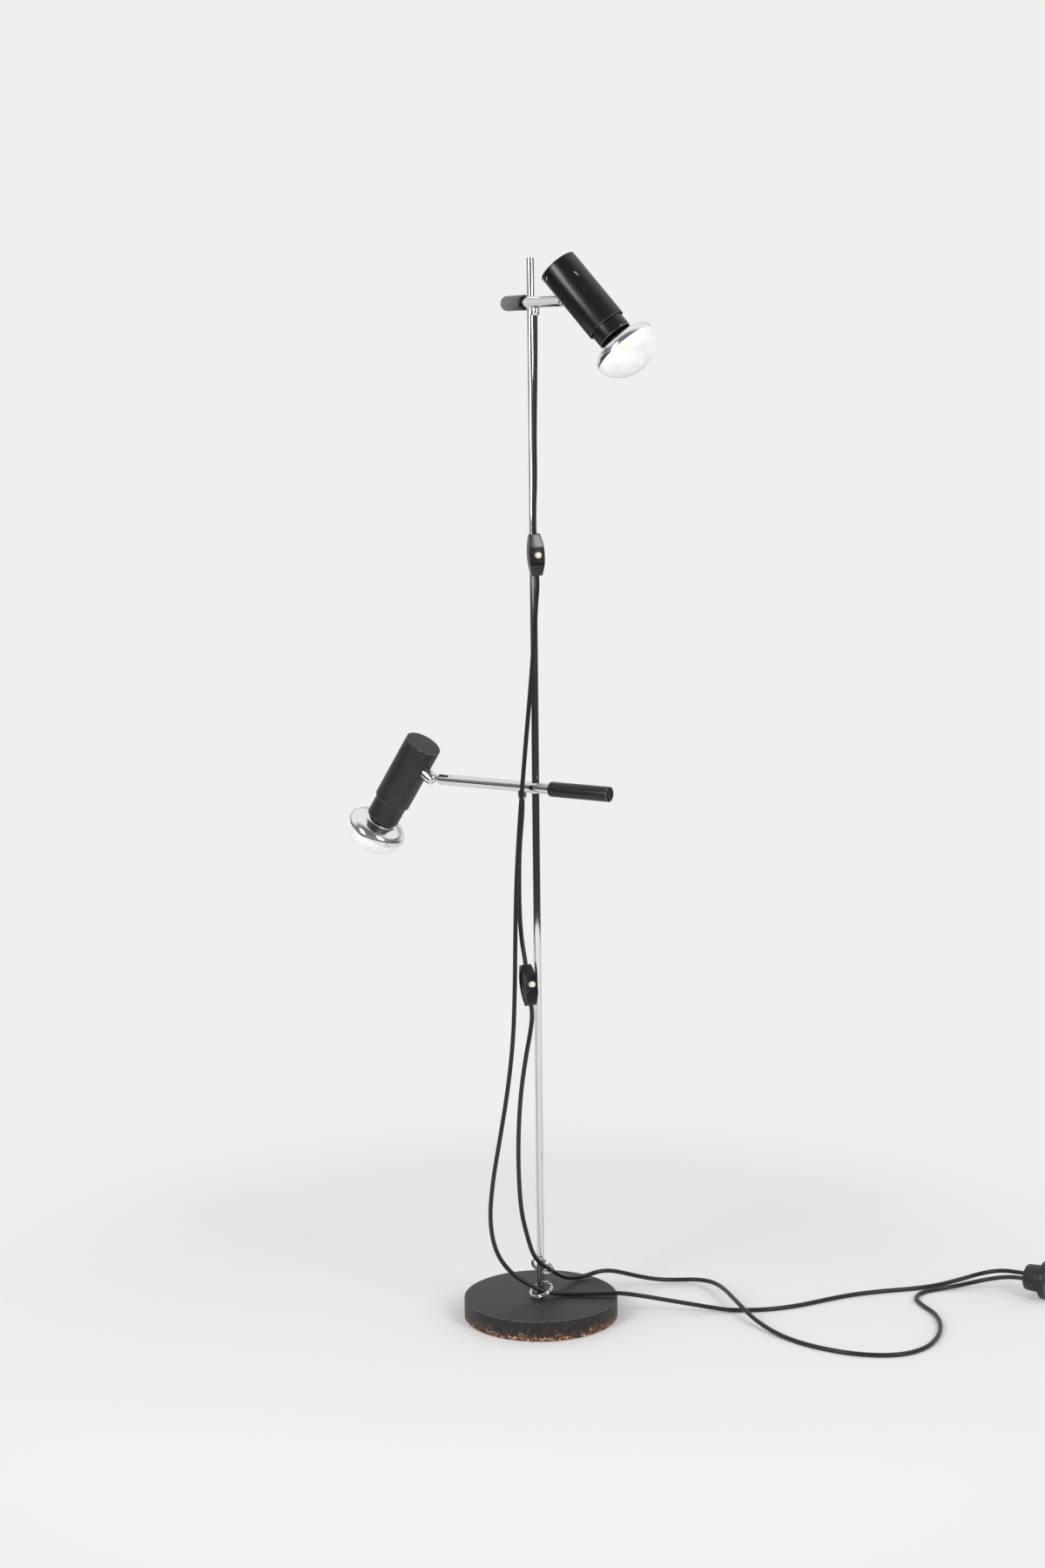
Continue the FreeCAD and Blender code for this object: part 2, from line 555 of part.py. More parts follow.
def lampholder():
    """Moulded holder with a flange in the sleeve, and the screw shell inside it."""
    shell_end = HOLDER_MOUTH + SCREW_SHELL_LENGTH
    contact_seat = BULB_CAP_TOP + BULB_CAP_LENGTH
    contact_bore = BULB_CAP_NOSE + AIR
    flange_radius = SLEEVE_BORE - FIXED_FIT
    flange_start = HOLDER_MOUTH + HOLDER_FLANGE_THICKNESS
    flange_end = flange_start + HOLDER_FLANGE_THICKNESS
    outline = [(-HOLDER_MOUTH, HOLDER_BORE), (-HOLDER_MOUTH, HOLDER_RADIUS), (-flange_start, HOLDER_RADIUS),
               (-flange_start, flange_radius), (-flange_end, flange_radius), (-flange_end, HOLDER_RADIUS),
               (-shell_end, HOLDER_RADIUS), (-HOLDER_DEPTH, HOLDER_DOME_RADIUS),
               (-HOLDER_DEPTH - HOLDER_DOME_LENGTH, HOLDER_DOME_RADIUS),
               (-HOLDER_DEPTH - HOLDER_DOME_LENGTH, 0), (-contact_seat, 0),
               (-contact_seat, contact_bore), (-shell_end, contact_bore), (-shell_end, HOLDER_BORE)]
    body = turned(outline)
    shell = rod(SCREW_SHELL_RADIUS, -shell_end, -HOLDER_MOUTH).cut(
        rod(SCREW_SHELL_BORE, -shell_end, -HOLDER_MOUTH))
    return body, shell


def arc(centre, radius, start, end):
    """Arc in the XZ plane about a point, between two angles from +X in degrees."""
    def spot(degrees):
        return centre + Vector(math.cos(math.radians(degrees)), 0, math.sin(math.radians(degrees))) * radius
    return Part.Arc(spot(start), spot((start + end) / 2), spot(end)).toShape()


def crown_radius(depth, rim):
    """Radius of the arc on the bulb's axis that meets an arc of the rim's radius smoothly."""
    return (BULB_RADIUS ** 2 + depth ** 2 - 2 * BULB_RADIUS * rim) / (2 * (depth - rim))


def bulb_outside():
    """Outline of the bulb from its tip to the metal cap: crowns, rims and the neck's blend as arcs."""
    equator = Z_AXIS * BULB_EQUATOR
    front, back = crown_radius(BULB_FRONT, BULB_FRONT_RIM), crown_radius(BULB_BACK, BULB_BACK_RIM)
    front_turn = math.degrees(math.atan2(front - BULB_FRONT, BULB_RADIUS - BULB_FRONT_RIM))
    back_turn = math.degrees(math.atan2(back - BULB_BACK, BULB_RADIUS - BULB_BACK_RIM))
    back_centre = equator + Z_AXIS * (back - BULB_BACK)
    blend_centre_radius = BULB_NECK_RADIUS + BULB_NECK_BLEND
    blend_turn = math.degrees(math.acos(blend_centre_radius / (back + BULB_NECK_BLEND)))
    blend_drop = (back + BULB_NECK_BLEND) * math.sin(math.radians(blend_turn))
    blend_centre = Vector(blend_centre_radius, 0, back_centre.z - blend_drop)
    shoulder = [Vector(BULB_NECK_RADIUS, 0, blend_centre.z),
                Vector(BULB_NECK_RADIUS, 0, BULB_SHOULDER_LENGTH - BULB_CAP_TOP),
                Vector(BULB_SHOULDER_RADIUS, 0, -BULB_CAP_TOP)]
    return [arc(equator + Z_AXIS * (BULB_FRONT - front), front, 90, front_turn),
            arc(equator + X_AXIS * (BULB_RADIUS - BULB_FRONT_RIM), BULB_FRONT_RIM, front_turn, 0),
            arc(equator + X_AXIS * (BULB_RADIUS - BULB_BACK_RIM), BULB_BACK_RIM, 0, -back_turn),
            arc(back_centre, back, -back_turn, -blend_turn),
            arc(blend_centre, BULB_NECK_BLEND, 180 - blend_turn, 180),
            Part.makeLine(shoulder[0], shoulder[1]), Part.makeLine(shoulder[1], shoulder[2])]


def bulb_glass():
    """Blown reflector bulb, open where the metal cap goes on; its inside is coarser than its outside."""
    outside = bulb_outside()
    rows = [outside[0].Vertexes[0].Point]
    for piece, steps in zip(outside, BULB_INSIDE_STEPS):
        first, last = piece.ParameterRange
        rows += [tuple(piece.valueAt(first + (last - first) * k / steps)) for k in range(1, steps + 1)]
    inside = [(rows[0][2] - BULB_WALL, 0)]
    for before, here, after in zip(rows, rows[1:], rows[2:]):
        along = (Vector(after) - Vector(before)).normalize()
        inside.append((here[2] + along.x * BULB_WALL, here[0] + along.z * BULB_WALL))
    inside += [(-BULB_CAP_TOP, BULB_SHOULDER_RADIUS - BULB_WALL), (-BULB_CAP_TOP, 0)]
    ends = [Z_AXIS * -BULB_CAP_TOP, Vector(0, 0, rows[0][2])]
    foot = Part.makeLine(Vector(rows[-1]), ends[0])
    wire = Part.Wire(outside + [foot, Part.makeLine(*ends)])
    body = Part.Face(wire).revolve(Vector(0, 0, 0), Z_AXIS, 360)
    return body.cut(turned(inside))


def bulb_cap():
    """Screw cap with a tapered insulator and the centre contact."""
    top = -BULB_CAP_TOP
    end = top - BULB_CAP_LENGTH
    insulator = end + BULB_CONTACT_LENGTH
    outline = [(top, 0), (top, BULB_CAP_RADIUS), (insulator + BULB_CONTACT_LENGTH, BULB_CAP_RADIUS),
               (insulator, BULB_CAP_NOSE), (insulator, BULB_CONTACT_RADIUS),
               (end, BULB_CONTACT_RADIUS), (end, 0)]
    return turned(outline)


# ---- inline switch (switch frame) ---------------------------------------------------------------

def switch_blank(low, high):
    """Barrel outline in the plane of the seam, drawn out along the front's direction."""
    half, end = SWITCH_LENGTH / 2, SWITCH_END_WIDTH / 2
    side = SWITCH_WIDTH / 2
    corners = [Vector(-end, low, -half), Vector(end, low, -half),
               Vector(end, low, half), Vector(-end, low, half)]
    right = Part.Arc(corners[1], Vector(side, low, 0), corners[2]).toShape()
    left = Part.Arc(corners[3], Vector(-side, low, 0), corners[0]).toShape()
    wire = Part.Wire([Part.makeLine(corners[0], corners[1]), right,
                      Part.makeLine(corners[2], corners[3]), left])
    return Part.Face(wire).extrude(Y_AXIS * (high - low))


def switch_front():
    """Front shell: a flat middle with a sloped facet at each end, and the button's hole."""
    shell = switch_blank(0, SWITCH_FRONT)
    for end in (-1, 1):
        edge = [Vector(0, SWITCH_FRONT, end * SWITCH_FACET_START),
                Vector(0, SWITCH_FRONT - SWITCH_FACET_DROP, end * SWITCH_LENGTH / 2),
                Vector(0, 2 * SWITCH_FRONT, end * SWITCH_LENGTH / 2),
                Vector(0, 2 * SWITCH_FRONT, end * SWITCH_FACET_START)]
        wedge = Part.Face(Part.makePolygon(edge + edge[:1])).extrude(X_AXIS * 2 * SWITCH_WIDTH)
        wedge.translate(X_AXIS * -SWITCH_WIDTH)
        shell = shell.cut(wedge)
    shell = shell.makeChamfer(SWITCH_EDGE, edges_on(shell, lambda c, e: abs(c.x) > SWITCH_WIDTH / 4
                                                    and c.y > SWITCH_FRONT - SWITCH_EDGE))
    shell = shell.cut(rod(SWITCH_CHAMBER_RADIUS, 0, SWITCH_FRONT - SWITCH_FACET_DROP, Y_AXIS))
    shell = shell.cut(rod(BUTTON_RADIUS + BUTTON_FIT, 0, SWITCH_FRONT, Y_AXIS))
    return shell.cut(rod(BEZEL_RADIUS, SWITCH_FRONT - BEZEL_SEAT, SWITCH_FRONT, Y_AXIS))


def switch_back():
    """Back shell with a crowned back and a chamber for the contacts."""
    shell = switch_blank(-SWITCH_BACK, 0)
    rim = edges_on(shell, lambda c, e: c.y < -SWITCH_BACK + 0.01 and e.Length > SWITCH_END_WIDTH + 1)
    shell = shell.makeFillet(SWITCH_BACK_ROUND, rim)
    return shell.cut(rod(SWITCH_CHAMBER_RADIUS, -SWITCH_CHAMBER_DEPTH, 0, Y_AXIS))


def switch_bezel():
    """Raised ring round the button."""
    ring = rod(BEZEL_RADIUS, SWITCH_FRONT - BEZEL_SEAT, SWITCH_FRONT + BEZEL_HEIGHT, Y_AXIS)
    return ring.cut(rod(BUTTON_RADIUS + BUTTON_FIT, 0, 2 * SWITCH_FRONT, Y_AXIS))


def switch_button():
    """Push button with a domed tip and a foot inside the shell that keeps it in."""
    foot = SWITCH_FRONT - SWITCH_FACET_DROP - AIR
    tip = SWITCH_FRONT + BUTTON_PROUD
    button = rod(BUTTON_RADIUS, foot - BUTTON_HEAD_THICKNESS, tip, Y_AXIS)
    button = button.makeFillet(BUTTON_RADIUS / 2, edges_on(button, lambda c, e: c.y > tip - 0.1))
    return button.fuse(rod(BUTTON_HEAD_RADIUS, foot - BUTTON_HEAD_THICKNESS, foot, Y_AXIS))


# ---- leads and plug -----------------------------------------------------------------------------

def cord(name, points):
    """A lead: straight runs joined by tangent arcs, as large as the two runs allow."""
    points = [Vector(p) for p in points]
    edges, start, radii = [], points[0], []
    for before, corner, after in zip(points, points[1:], points[2:]):
        arrive, leave = corner - before, after - corner
        turn = arrive.getAngle(leave)
        shorter = min(arrive.Length, leave.Length)
        tangent = BEND_SHARE * shorter
        radius = tangent / math.tan(turn / 2)
        radii.append(radius)
        arc_start = corner - arrive.normalize() * tangent
        arc_end = corner + leave.normalize() * tangent
        centre_way = (arrive * -1 + leave).normalize()
        arc_middle = corner + centre_way * (radius / math.cos(turn / 2) - radius)
        edges.append(Part.LineSegment(start, arc_start).toShape())
        edges.append(Part.Arc(arc_start, arc_middle, arc_end).toShape())
        start = arc_end
    edges.append(Part.LineSegment(start, points[-1]).toShape())
    path = Part.Wire(edges)
    way = (points[1] - points[0]).normalize()
    section = Part.Wire([Part.Circle(points[0], way, CORD_RADIUS).toShape()])
    tube = path.makePipeShell([section], True, False)
    expected = math.pi * CORD_RADIUS ** 2 * path.Length
    print(f"{name}: length {path.Length:.0f}, least radius {min(radii):.0f}, "
          f"volume off by {100 * abs(tube.Volume / expected - 1):.2f} %, radii",
          " ".join(f"{r:.0f}" for r in radii))
    return tube


def plug_parts():
    """Two-lead plug: a cover in two halves, a flanged front and two round pins (plug frame)."""
    flange_end = PLUG_COVER_LENGTH + PLUG_FLANGE_LENGTH
    cover = turned([(0, 0), (0, PLUG_COVER_END_RADIUS - PLUG_COVER_ROUND),
                    (PLUG_COVER_ROUND, PLUG_COVER_END_RADIUS),
                    (PLUG_COVER_LENGTH - PLUG_COVER_ROUND, PLUG_COVER_RADIUS),
                    (PLUG_COVER_LENGTH, PLUG_COVER_RADIUS), (PLUG_COVER_LENGTH, 0)], X_AXIS)
    half = Part.makeBox(PLUG_COVER_LENGTH, 2 * PLUG_COVER_RADIUS, PLUG_COVER_RADIUS,
                        Vector(0, -PLUG_COVER_RADIUS, 0))
    upper = cover.common(half)
    lower = cover.cut(half)
    front = rod(PLUG_FLANGE_RADIUS, PLUG_COVER_LENGTH, flange_end, X_AXIS)
    front = front.makeFillet(PLUG_FLANGE_ROUND, edges_on(front, lambda c, e: c.x < PLUG_COVER_LENGTH + 0.01))
    front = front.makeChamfer(PLUG_FLANGE_ROUND / 2, edges_on(front, lambda c, e: c.x > flange_end - 0.01))
    pins = []
    for side in (-1, 1):
        place = Vector(flange_end - PLUG_PIN_ROOT, side * PLUG_PIN_SPACING / 2, 0)
        root = Part.makeCylinder(PLUG_PIN_ROOT_RADIUS, PLUG_PIN_ROOT, place, X_AXIS)
        front = front.cut(root)
        pin = Part.makeCylinder(PLUG_PIN_RADIUS, PLUG_PIN_LENGTH, place + X_AXIS * PLUG_PIN_ROOT, X_AXIS)
        tip = flange_end + PLUG_PIN_LENGTH
        pin = pin.makeFillet(PLUG_PIN_RADIUS / 2, edges_on(pin, lambda c, e: c.x > tip - 0.1))
        pins.append(pin.fuse(root))
    return upper, lower, front, Part.makeCompound(pins)


# ---- assembly -----------------------------------------------------------------------------------

def build_stand():
    """Save the base, the pole with its fixing, and the two rings."""
    save("base_disc", base_disc())
    save("base_felt", base_felt())
    save("pole", pole())
    washer, nut = pole_fixing()
    save("pole_washer", washer)
    save("pole_nut", nut)
    save("upper_cord_ring", split_ring(UPPER_RING_CENTRE, UPPER_RING_LEAN, UPPER_RING_LEAN_AZIMUTH))
    save("lower_cord_ring", split_ring(LOWER_RING_CENTRE, LOWER_RING_LEAN, LOWER_RING_LEAN_AZIMUTH))


def build_arm(name, lamp):
    """Save one lamp's arm with its handle, brake, outlet and ball."""
    frame = arm_frame(lamp)
    shoe, screw = brake_parts()
    pieces = {"pole_bush": pole_bush(), "arm_tube": arm_tube(), "arm_grip": arm_grip(),
              "brake_shoe": shoe, "brake_screw": screw, "arm_end_plug": arm_end_plug(),
              "cord_nipple": cord_nipple(), "ball_stud": ball_stud()}
    for piece, shape in pieces.items():
        save(f"{name}_{piece}", placed(shape, frame))


def build_head(name, lamp):
    """Save one lamp's socket, head, sleeve, holder and bulb."""
    frame = head_frame(lamp)
    pieces = {"ball_seat": ball_seat(), "ball_socket": ball_socket(), "socket_nut": socket_nut(),
              "head_tube": head_tube(), "head_cap": head_cap()}
    for piece, shape in pieces.items():
        save(f"{name}_{piece}", placed(shape, frame))
    holder, shell = lampholder()
    inner = {"sleeve": sleeve(), "lampholder_body": holder, "lampholder_shell": shell,
             "bulb_glass": bulb_glass(), "bulb_cap": bulb_cap()}
    for piece, shape in inner.items():
        save(f"{name}_{piece}", placed(shape, sleeve_frame(lamp)))


def build_lead(name, lamp):
    """Save one lamp's switch and the two free stretches of its lead."""
    frame = switch_frame(SWITCHES[name])
    pieces = {"switch_front": switch_front(), "switch_back": switch_back(),
              "switch_bezel": switch_bezel(), "switch_button": switch_button()}
    for piece, shape in pieces.items():
        save(f"{name}_{piece}", placed(shape, frame))
    half = SWITCH_LENGTH / 2
    exit_point = Vector(NIPPLE_OFFSET, 0, -CORD_EXIT_DROP)
    outlet = [arm_frame(lamp).multVec(exit_point - Z_AXIS * reach) for reach in (0, LEAD_IN)]
    top = [frame.multVec(Z_AXIS * (half + reach)) for reach in (LEAD_IN, 0)]
    bottom = [frame.multVec(Z_AXIS * (-half - reach)) for reach in (0, LEAD_IN)]
    side = 1 if name == "upper" else -1
    inlet = [plug_frame().multVec(Vector(-reach, side * PLUG_INLET_OFFSET, 0)) for reach in (LEAD_IN, 0)]
    save(f"{name}_cord_drop", cord(f"{name}_cord_drop", outlet + DROP_ROUTES[name] + top))
    save(f"{name}_cord_run", cord(f"{name}_cord_run", bottom + RUN_ROUTES[name] + inlet))


def build_plug():
    """Save the plug that both leads share."""
    names = ("plug_cover_upper", "plug_cover_lower", "plug_front", "plug_pins")
    for name, shape in zip(names, plug_parts()):
        save(name, placed(shape, plug_frame()))


build_stand()
for lamp_name, lamp_pose in LAMPS.items():
    build_arm(lamp_name, lamp_pose)
    build_head(lamp_name, lamp_pose)
    build_lead(lamp_name, lamp_pose)
build_plug()
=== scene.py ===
"""Dressed model of a free-standing floor lamp with two ball-jointed spots on a chrome pole.

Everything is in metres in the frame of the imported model. Each sub-assembly is a class: its sizes are
fields, its methods model its pieces and dress them, and the joints of the record place it.
"""

from __future__ import annotations

import json
import logging
import math
from dataclasses import dataclass, field
from enum import Enum
from typing import Callable, Sequence

import bpy
from mathutils import Matrix, Vector


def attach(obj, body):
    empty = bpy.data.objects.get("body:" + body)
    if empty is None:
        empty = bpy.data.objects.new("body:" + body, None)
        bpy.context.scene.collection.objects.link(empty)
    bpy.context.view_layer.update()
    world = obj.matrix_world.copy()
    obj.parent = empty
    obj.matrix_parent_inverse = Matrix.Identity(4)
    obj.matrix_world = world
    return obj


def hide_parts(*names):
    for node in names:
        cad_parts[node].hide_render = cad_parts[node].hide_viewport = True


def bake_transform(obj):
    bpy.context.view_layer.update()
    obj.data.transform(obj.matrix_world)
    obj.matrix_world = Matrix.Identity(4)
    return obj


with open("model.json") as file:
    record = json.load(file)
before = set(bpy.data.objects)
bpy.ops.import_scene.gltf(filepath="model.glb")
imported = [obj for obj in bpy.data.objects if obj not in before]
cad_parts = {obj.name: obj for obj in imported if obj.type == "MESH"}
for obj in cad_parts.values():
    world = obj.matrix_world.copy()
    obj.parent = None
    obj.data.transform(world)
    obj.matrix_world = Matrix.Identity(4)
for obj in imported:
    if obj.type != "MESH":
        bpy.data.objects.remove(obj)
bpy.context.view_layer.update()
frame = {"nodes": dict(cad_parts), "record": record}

LOG = logging.getLogger("floor_lamp")
MM = 0.001
TOUCH = 1e-6              # two places nearer than this are one, in metres
Point = tuple[float, float, float]
Profile = list[tuple[float, float]]


class Slot(str, Enum):
    """Material slots of the record."""

    IRON = "iron_paint"
    FELT = "felt"
    CHROME = "chrome"
    STEEL = "steel"
    BRASS = "brass"
    NICKEL = "nickel"
    PAINT = "black_paint"
    MOULDING = "black_moulding"
    CREAM = "cream_button"
    NYLON = "nylon"
    LEAD = "lead"
    PLUG = "plug_moulding"
    BULB = "bulb_glass"


class Lamp(str, Enum):
    """The two lamps on the pole."""

    UPPER = "upper"
    LOWER = "lower"


# ---- places, read from the record's joints ------------------------------------------------------


def joint(name: str) -> dict:
    """Finds a joint of the record by its name."""
    return next(j for j in frame["record"]["behaviour"]["joints"] if j["name"] == name)


def axes(origin: Vector, x: Vector, z: Vector) -> Matrix:
    """Builds a place from its origin, its X direction and its Z direction.

    Args:
        origin: where the local origin stands.
        x: local X, a unit vector.
        z: local Z, a unit vector square to x.

    Returns:
        The matrix from local to frame coordinates.
    """
    y = z.cross(x)
    columns = Matrix((x, y, z)).transposed().to_4x4()
    return Matrix.Translation(origin) @ columns


# ---- shader maths -------------------------------------------------------------------------------


class Signal:
    """A number that varies over a surface, combined with Python operators."""

    def __init__(self, tree: "Graph", socket: bpy.types.NodeSocket) -> None:
        """Wraps an output socket of a tree."""
        self.tree = tree
        self.socket = socket

    def _math(self, operation: str, *values: "Signal | float") -> "Signal":
        """Adds a Math node for an operation on given values."""
        node = self.tree.node("ShaderNodeMath", {"operation": operation},
                              {index: value for index, value in enumerate(values)})
        return Signal(self.tree, node.outputs[0])

    def __add__(self, other: "Signal | float") -> "Signal":
        """Sum."""
        return self._math("ADD", self, other)

    def __radd__(self, other: float) -> "Signal":
        """Reflected sum."""
        return self._math("ADD", other, self)

    def __sub__(self, other: "Signal | float") -> "Signal":
        """Difference."""
        return self._math("SUBTRACT", self, other)

    def __rsub__(self, other: float) -> "Signal":
        """Reflected difference."""
        return self._math("SUBTRACT", other, self)

    def __mul__(self, other: "Signal | float") -> "Signal":
        """Product."""
        return self._math("MULTIPLY", self, other)

    def __pow__(self, other: float) -> "Signal":
        """Power."""
        return self._math("POWER", self, other)

    def __abs__(self) -> "Signal":
        """Size without sign."""
        return self._math("ABSOLUTE", self)

    def larger(self, other: "Signal | float") -> "Signal":
        """The larger of two values."""
        return self._math("MAXIMUM", self, other)

    def step(self, low: float, high: float) -> "Signal":
        """Smooth step: 0 below low, 1 above high; falls where low is above high."""
        first, last = (low, high) if low < high else (high, low)
        ends = (0.0, 1.0) if low < high else (1.0, 0.0)
        node = self.tree.node("ShaderNodeMapRange", {"interpolation_type": "SMOOTHSTEP"},
                              {0: self, 1: first, 2: last, 3: ends[0], 4: ends[1]})
        return Signal(self.tree, node.outputs[0])

    def within(self, middle: float, reach: float, soft: float) -> "Signal":
        """Mask that is 1 within a reach of a middle value and fades to 0 over a soft width."""
        return abs(self - middle).step(reach + soft, reach)

    def blend(self, low: float, high: float) -> "Signal":
        """Spreads a 0 to 1 mask over two values."""
        return self * (high - low) + low


class Graph:
    """A node tree with an output and the place that its patterns are read at."""

    def __init__(self, tree: bpy.types.NodeTree, output: str, coordinate: str) -> None:
        """Empties a tree and starts it again.

        Args:
            tree: the tree of a material or a world.
            output: type of its output node.
            coordinate: the Texture Coordinate output that gives the place.
        """
        self.tree = tree
        tree.nodes.clear()
        self.output = tree.nodes.new(output)
        self.place = self.node("ShaderNodeTexCoord").outputs[coordinate]

    def node(self, kind: str, settings: dict | None = None, inputs: dict | None = None) -> bpy.types.Node:
        """Adds a node: its settings first, then the values or links of its sockets.

        Args:
            kind: the node's type.
            settings: attributes such as a Math node's operation.
            inputs: socket name or number to a value, a socket or a Signal.

        Returns:
            The new node.
        """
        node = self.tree.nodes.new(kind)
        for key, value in (settings or {}).items():
            setattr(node, key, value)
        for key, value in (inputs or {}).items():
            socket = node.inputs[key]
            if isinstance(value, Signal):
                self.tree.links.new(value.socket, socket)
            elif isinstance(value, bpy.types.NodeSocket):
                self.tree.links.new(value, socket)
            else:
                socket.default_value = value
        return node

    def split(self) -> tuple[Signal, Signal, Signal]:
        """The three coordinates of the pattern's place, in metres."""
        node = self.node("ShaderNodeSeparateXYZ", inputs={0: self.place})
        return tuple(Signal(self, node.outputs[i]) for i in range(3))

    def stretched(self, scale: Point) -> bpy.types.NodeSocket:
        """The place, stretched along its axes."""
        return self.node("ShaderNodeVectorMath", {"operation": "MULTIPLY"},
                         {0: self.place, 1: scale}).outputs[0]

    def noise(self, scale: float, detail: float = 3.0, rough: float = 0.5,
              stretch: Point = (1.0, 1.0, 1.0)) -> Signal:
        """Soft noise from 0 to 1, scale in cells per metre."""
        node = self.node("ShaderNodeTexNoise", inputs={"Vector": self.stretched(stretch), "Scale": scale,
                                                       "Detail": detail, "Roughness": rough})
        return Signal(self, node.outputs[0])

    def specks(self, scale: float, size: float, keep: float) -> Signal:
        """Scattered round specks as a mask.

        Args:
            scale: cells per metre.
            size: radius of a speck as a share of its cell.
            keep: share of the cells that hold a speck.

        Returns:
            A mask, 1 on a speck.
        """
        cells = self.node("ShaderNodeTexVoronoi", {"feature": "F1"},
                          {"Vector": self.place, "Scale": scale, "Randomness": 1.0})
        near = Signal(self, cells.outputs["Distance"]).step(size, size * 0.6)
        pick = self.node("ShaderNodeSeparateColor", inputs={0: cells.outputs["Color"]}).outputs[0]
        return near * Signal(self, pick).step(1.0 - keep, 1.02 - keep)

    def scratches(self, scale: float, width: float, keep: float) -> Signal:
        """Thin curved scratches as a mask.

        Args:
            scale: bends per metre.
            width: width of a line, as a share of a bend.
            keep: level of a second noise above which a line shows; higher keeps less.

        Returns:
            A mask, 1 on a scratch.
        """
        line = self.noise(scale, 1.0).within(0.5, width * 0.4, width * 0.6)
        return line * self.noise(scale * 2.3, 2.0).step(keep, keep + 0.03)

    def colour(self, factor: Signal, low: Point | bpy.types.NodeSocket,
               high: Point | bpy.types.NodeSocket) -> bpy.types.NodeSocket:
        """Mixes two colours by a mask."""
        def rgba(value: Point | bpy.types.NodeSocket) -> object:
            """A colour with its alpha, or a socket as it is."""
            return value if isinstance(value, bpy.types.NodeSocket) else (*value, 1.0)

        node = self.node("ShaderNodeMix", {"data_type": "RGBA", "clamp_factor": True},
                         {0: factor, 6: rgba(low), 7: rgba(high)})
        return node.outputs[2]

    def shade(self, surface: bpy.types.NodeSocket) -> None:
        """Sends a shader to the output."""
        self.tree.links.new(surface, self.output.inputs["Surface"])


class Tree(Graph):
    """The node tree of one material, with its shader ready to be fed."""

    def __init__(self, name: str, place: Matrix | None = None) -> None:
        """Starts a material.

        Args:
            name: the material's name.
            place: local place of the piece that the pattern is centred on, if it matters.
        """
        self.material = bpy.data.materials.new(name)
        self.material.use_nodes = True
        super().__init__(self.material.node_tree, "ShaderNodeOutputMaterial", "Object")
        self.shader = self.tree.nodes.new("ShaderNodeBsdfPrincipled")
        self.shade(self.shader.outputs[0])
        if place is not None:
            back = place.inverted()
            self.place = self.node("ShaderNodeMapping", {"vector_type": "POINT"},
                                   {"Vector": self.place, "Location": tuple(back.to_translation()),
                                    "Rotation": tuple(back.to_euler("XYZ"))}).outputs[0]

    def feed(self, **sockets: object) -> None:
        """Sets or links inputs of the main shader, words joined by underscores."""
        for key, value in sockets.items():
            socket = self.shader.inputs[key.replace("_", " ")]
            if isinstance(value, Signal):
                self.tree.links.new(value.socket, socket)
            elif isinstance(value, bpy.types.NodeSocket):
                self.tree.links.new(value, socket)
            elif isinstance(value, tuple) and len(value) == 3 and socket.type == "RGBA":
                socket.default_value = (*value, 1.0)
            else:
                socket.default_value = value

    def bump(self, height: Signal, distance: float, strength: float = 1.0) -> None:
        """Feeds the shader's normal from a height in 0 to 1 times a distance in metres."""
        node = self.node("ShaderNodeBump",
                         inputs={"Height": height, "Distance": distance, "Strength": strength})
        self.tree.links.new(node.outputs[0], self.shader.inputs["Normal"])


# ---- finishes -----------------------------------------------------------------------------------


@dataclass(frozen=True)
class SatinPaint:
    """Satin black lacquer on metal, with handling marks, small chips, scratches and worn rims."""

    name: str
    tint: Point = (0.0060, 0.0060, 0.0066)
    worn: Point = (0.014, 0.0135, 0.013)
    chip: Point = (0.62, 0.60, 0.55)
    rim: Point = (0.16, 0.115, 0.075)
    rough: tuple[float, float] = (0.25, 0.33)
    chips: float = 0.035
    scratched: float = 0.66

    def material(self, place: Matrix, rims: Sequence[tuple[float, float]]) -> bpy.types.Material:
        """Builds the finish for a piece.

        Args:
            place: the piece's local place.
            rims: edges where the paint is worn, as (along local Z, radius) in millimetres.

        Returns:
            The material.
        """
        tree = Tree(self.name, place)
        cloud = tree.noise(38.0, 4.0, 0.6)
        fine = tree.noise(900.0, 2.0)
        rub = tree.noise(14.0, 5.0, 0.65).step(0.56, 0.74)
        chips = tree.specks(300.0, 0.22, self.chips) * tree.noise(30.0, 2.0).step(0.47, 0.58)
        bare = chips.larger(tree.scratches(28.0, 0.010, self.scratched))
        base = tree.colour(rub * 0.5 + cloud * 0.25, self.tint, self.worn)
        x, y, along = tree.split()
        out = (x * x + y * y) ** 0.5
        edge, *others = [along.within(at * MM, 0.0003, 0.0004) * out.within(radius * MM, 0.0004, 0.0003)
                         for at, radius in rims]
        for other in others:
            edge = edge.larger(other)
        base = tree.colour(edge * tree.noise(120.0, 4.0, 0.65).step(0.40, 0.56), base, self.rim)
        tree.feed(Base_Color=tree.colour(bare, base, self.chip), Metallic=0.0,
                  Roughness=(cloud * 0.7 + fine * 0.3 + rub * 0.3).blend(*self.rough), IOR=1.5)
        tree.bump(fine * 0.4 + (1.0 - bare) * 0.6, 0.00003, 0.5)
        return tree.material


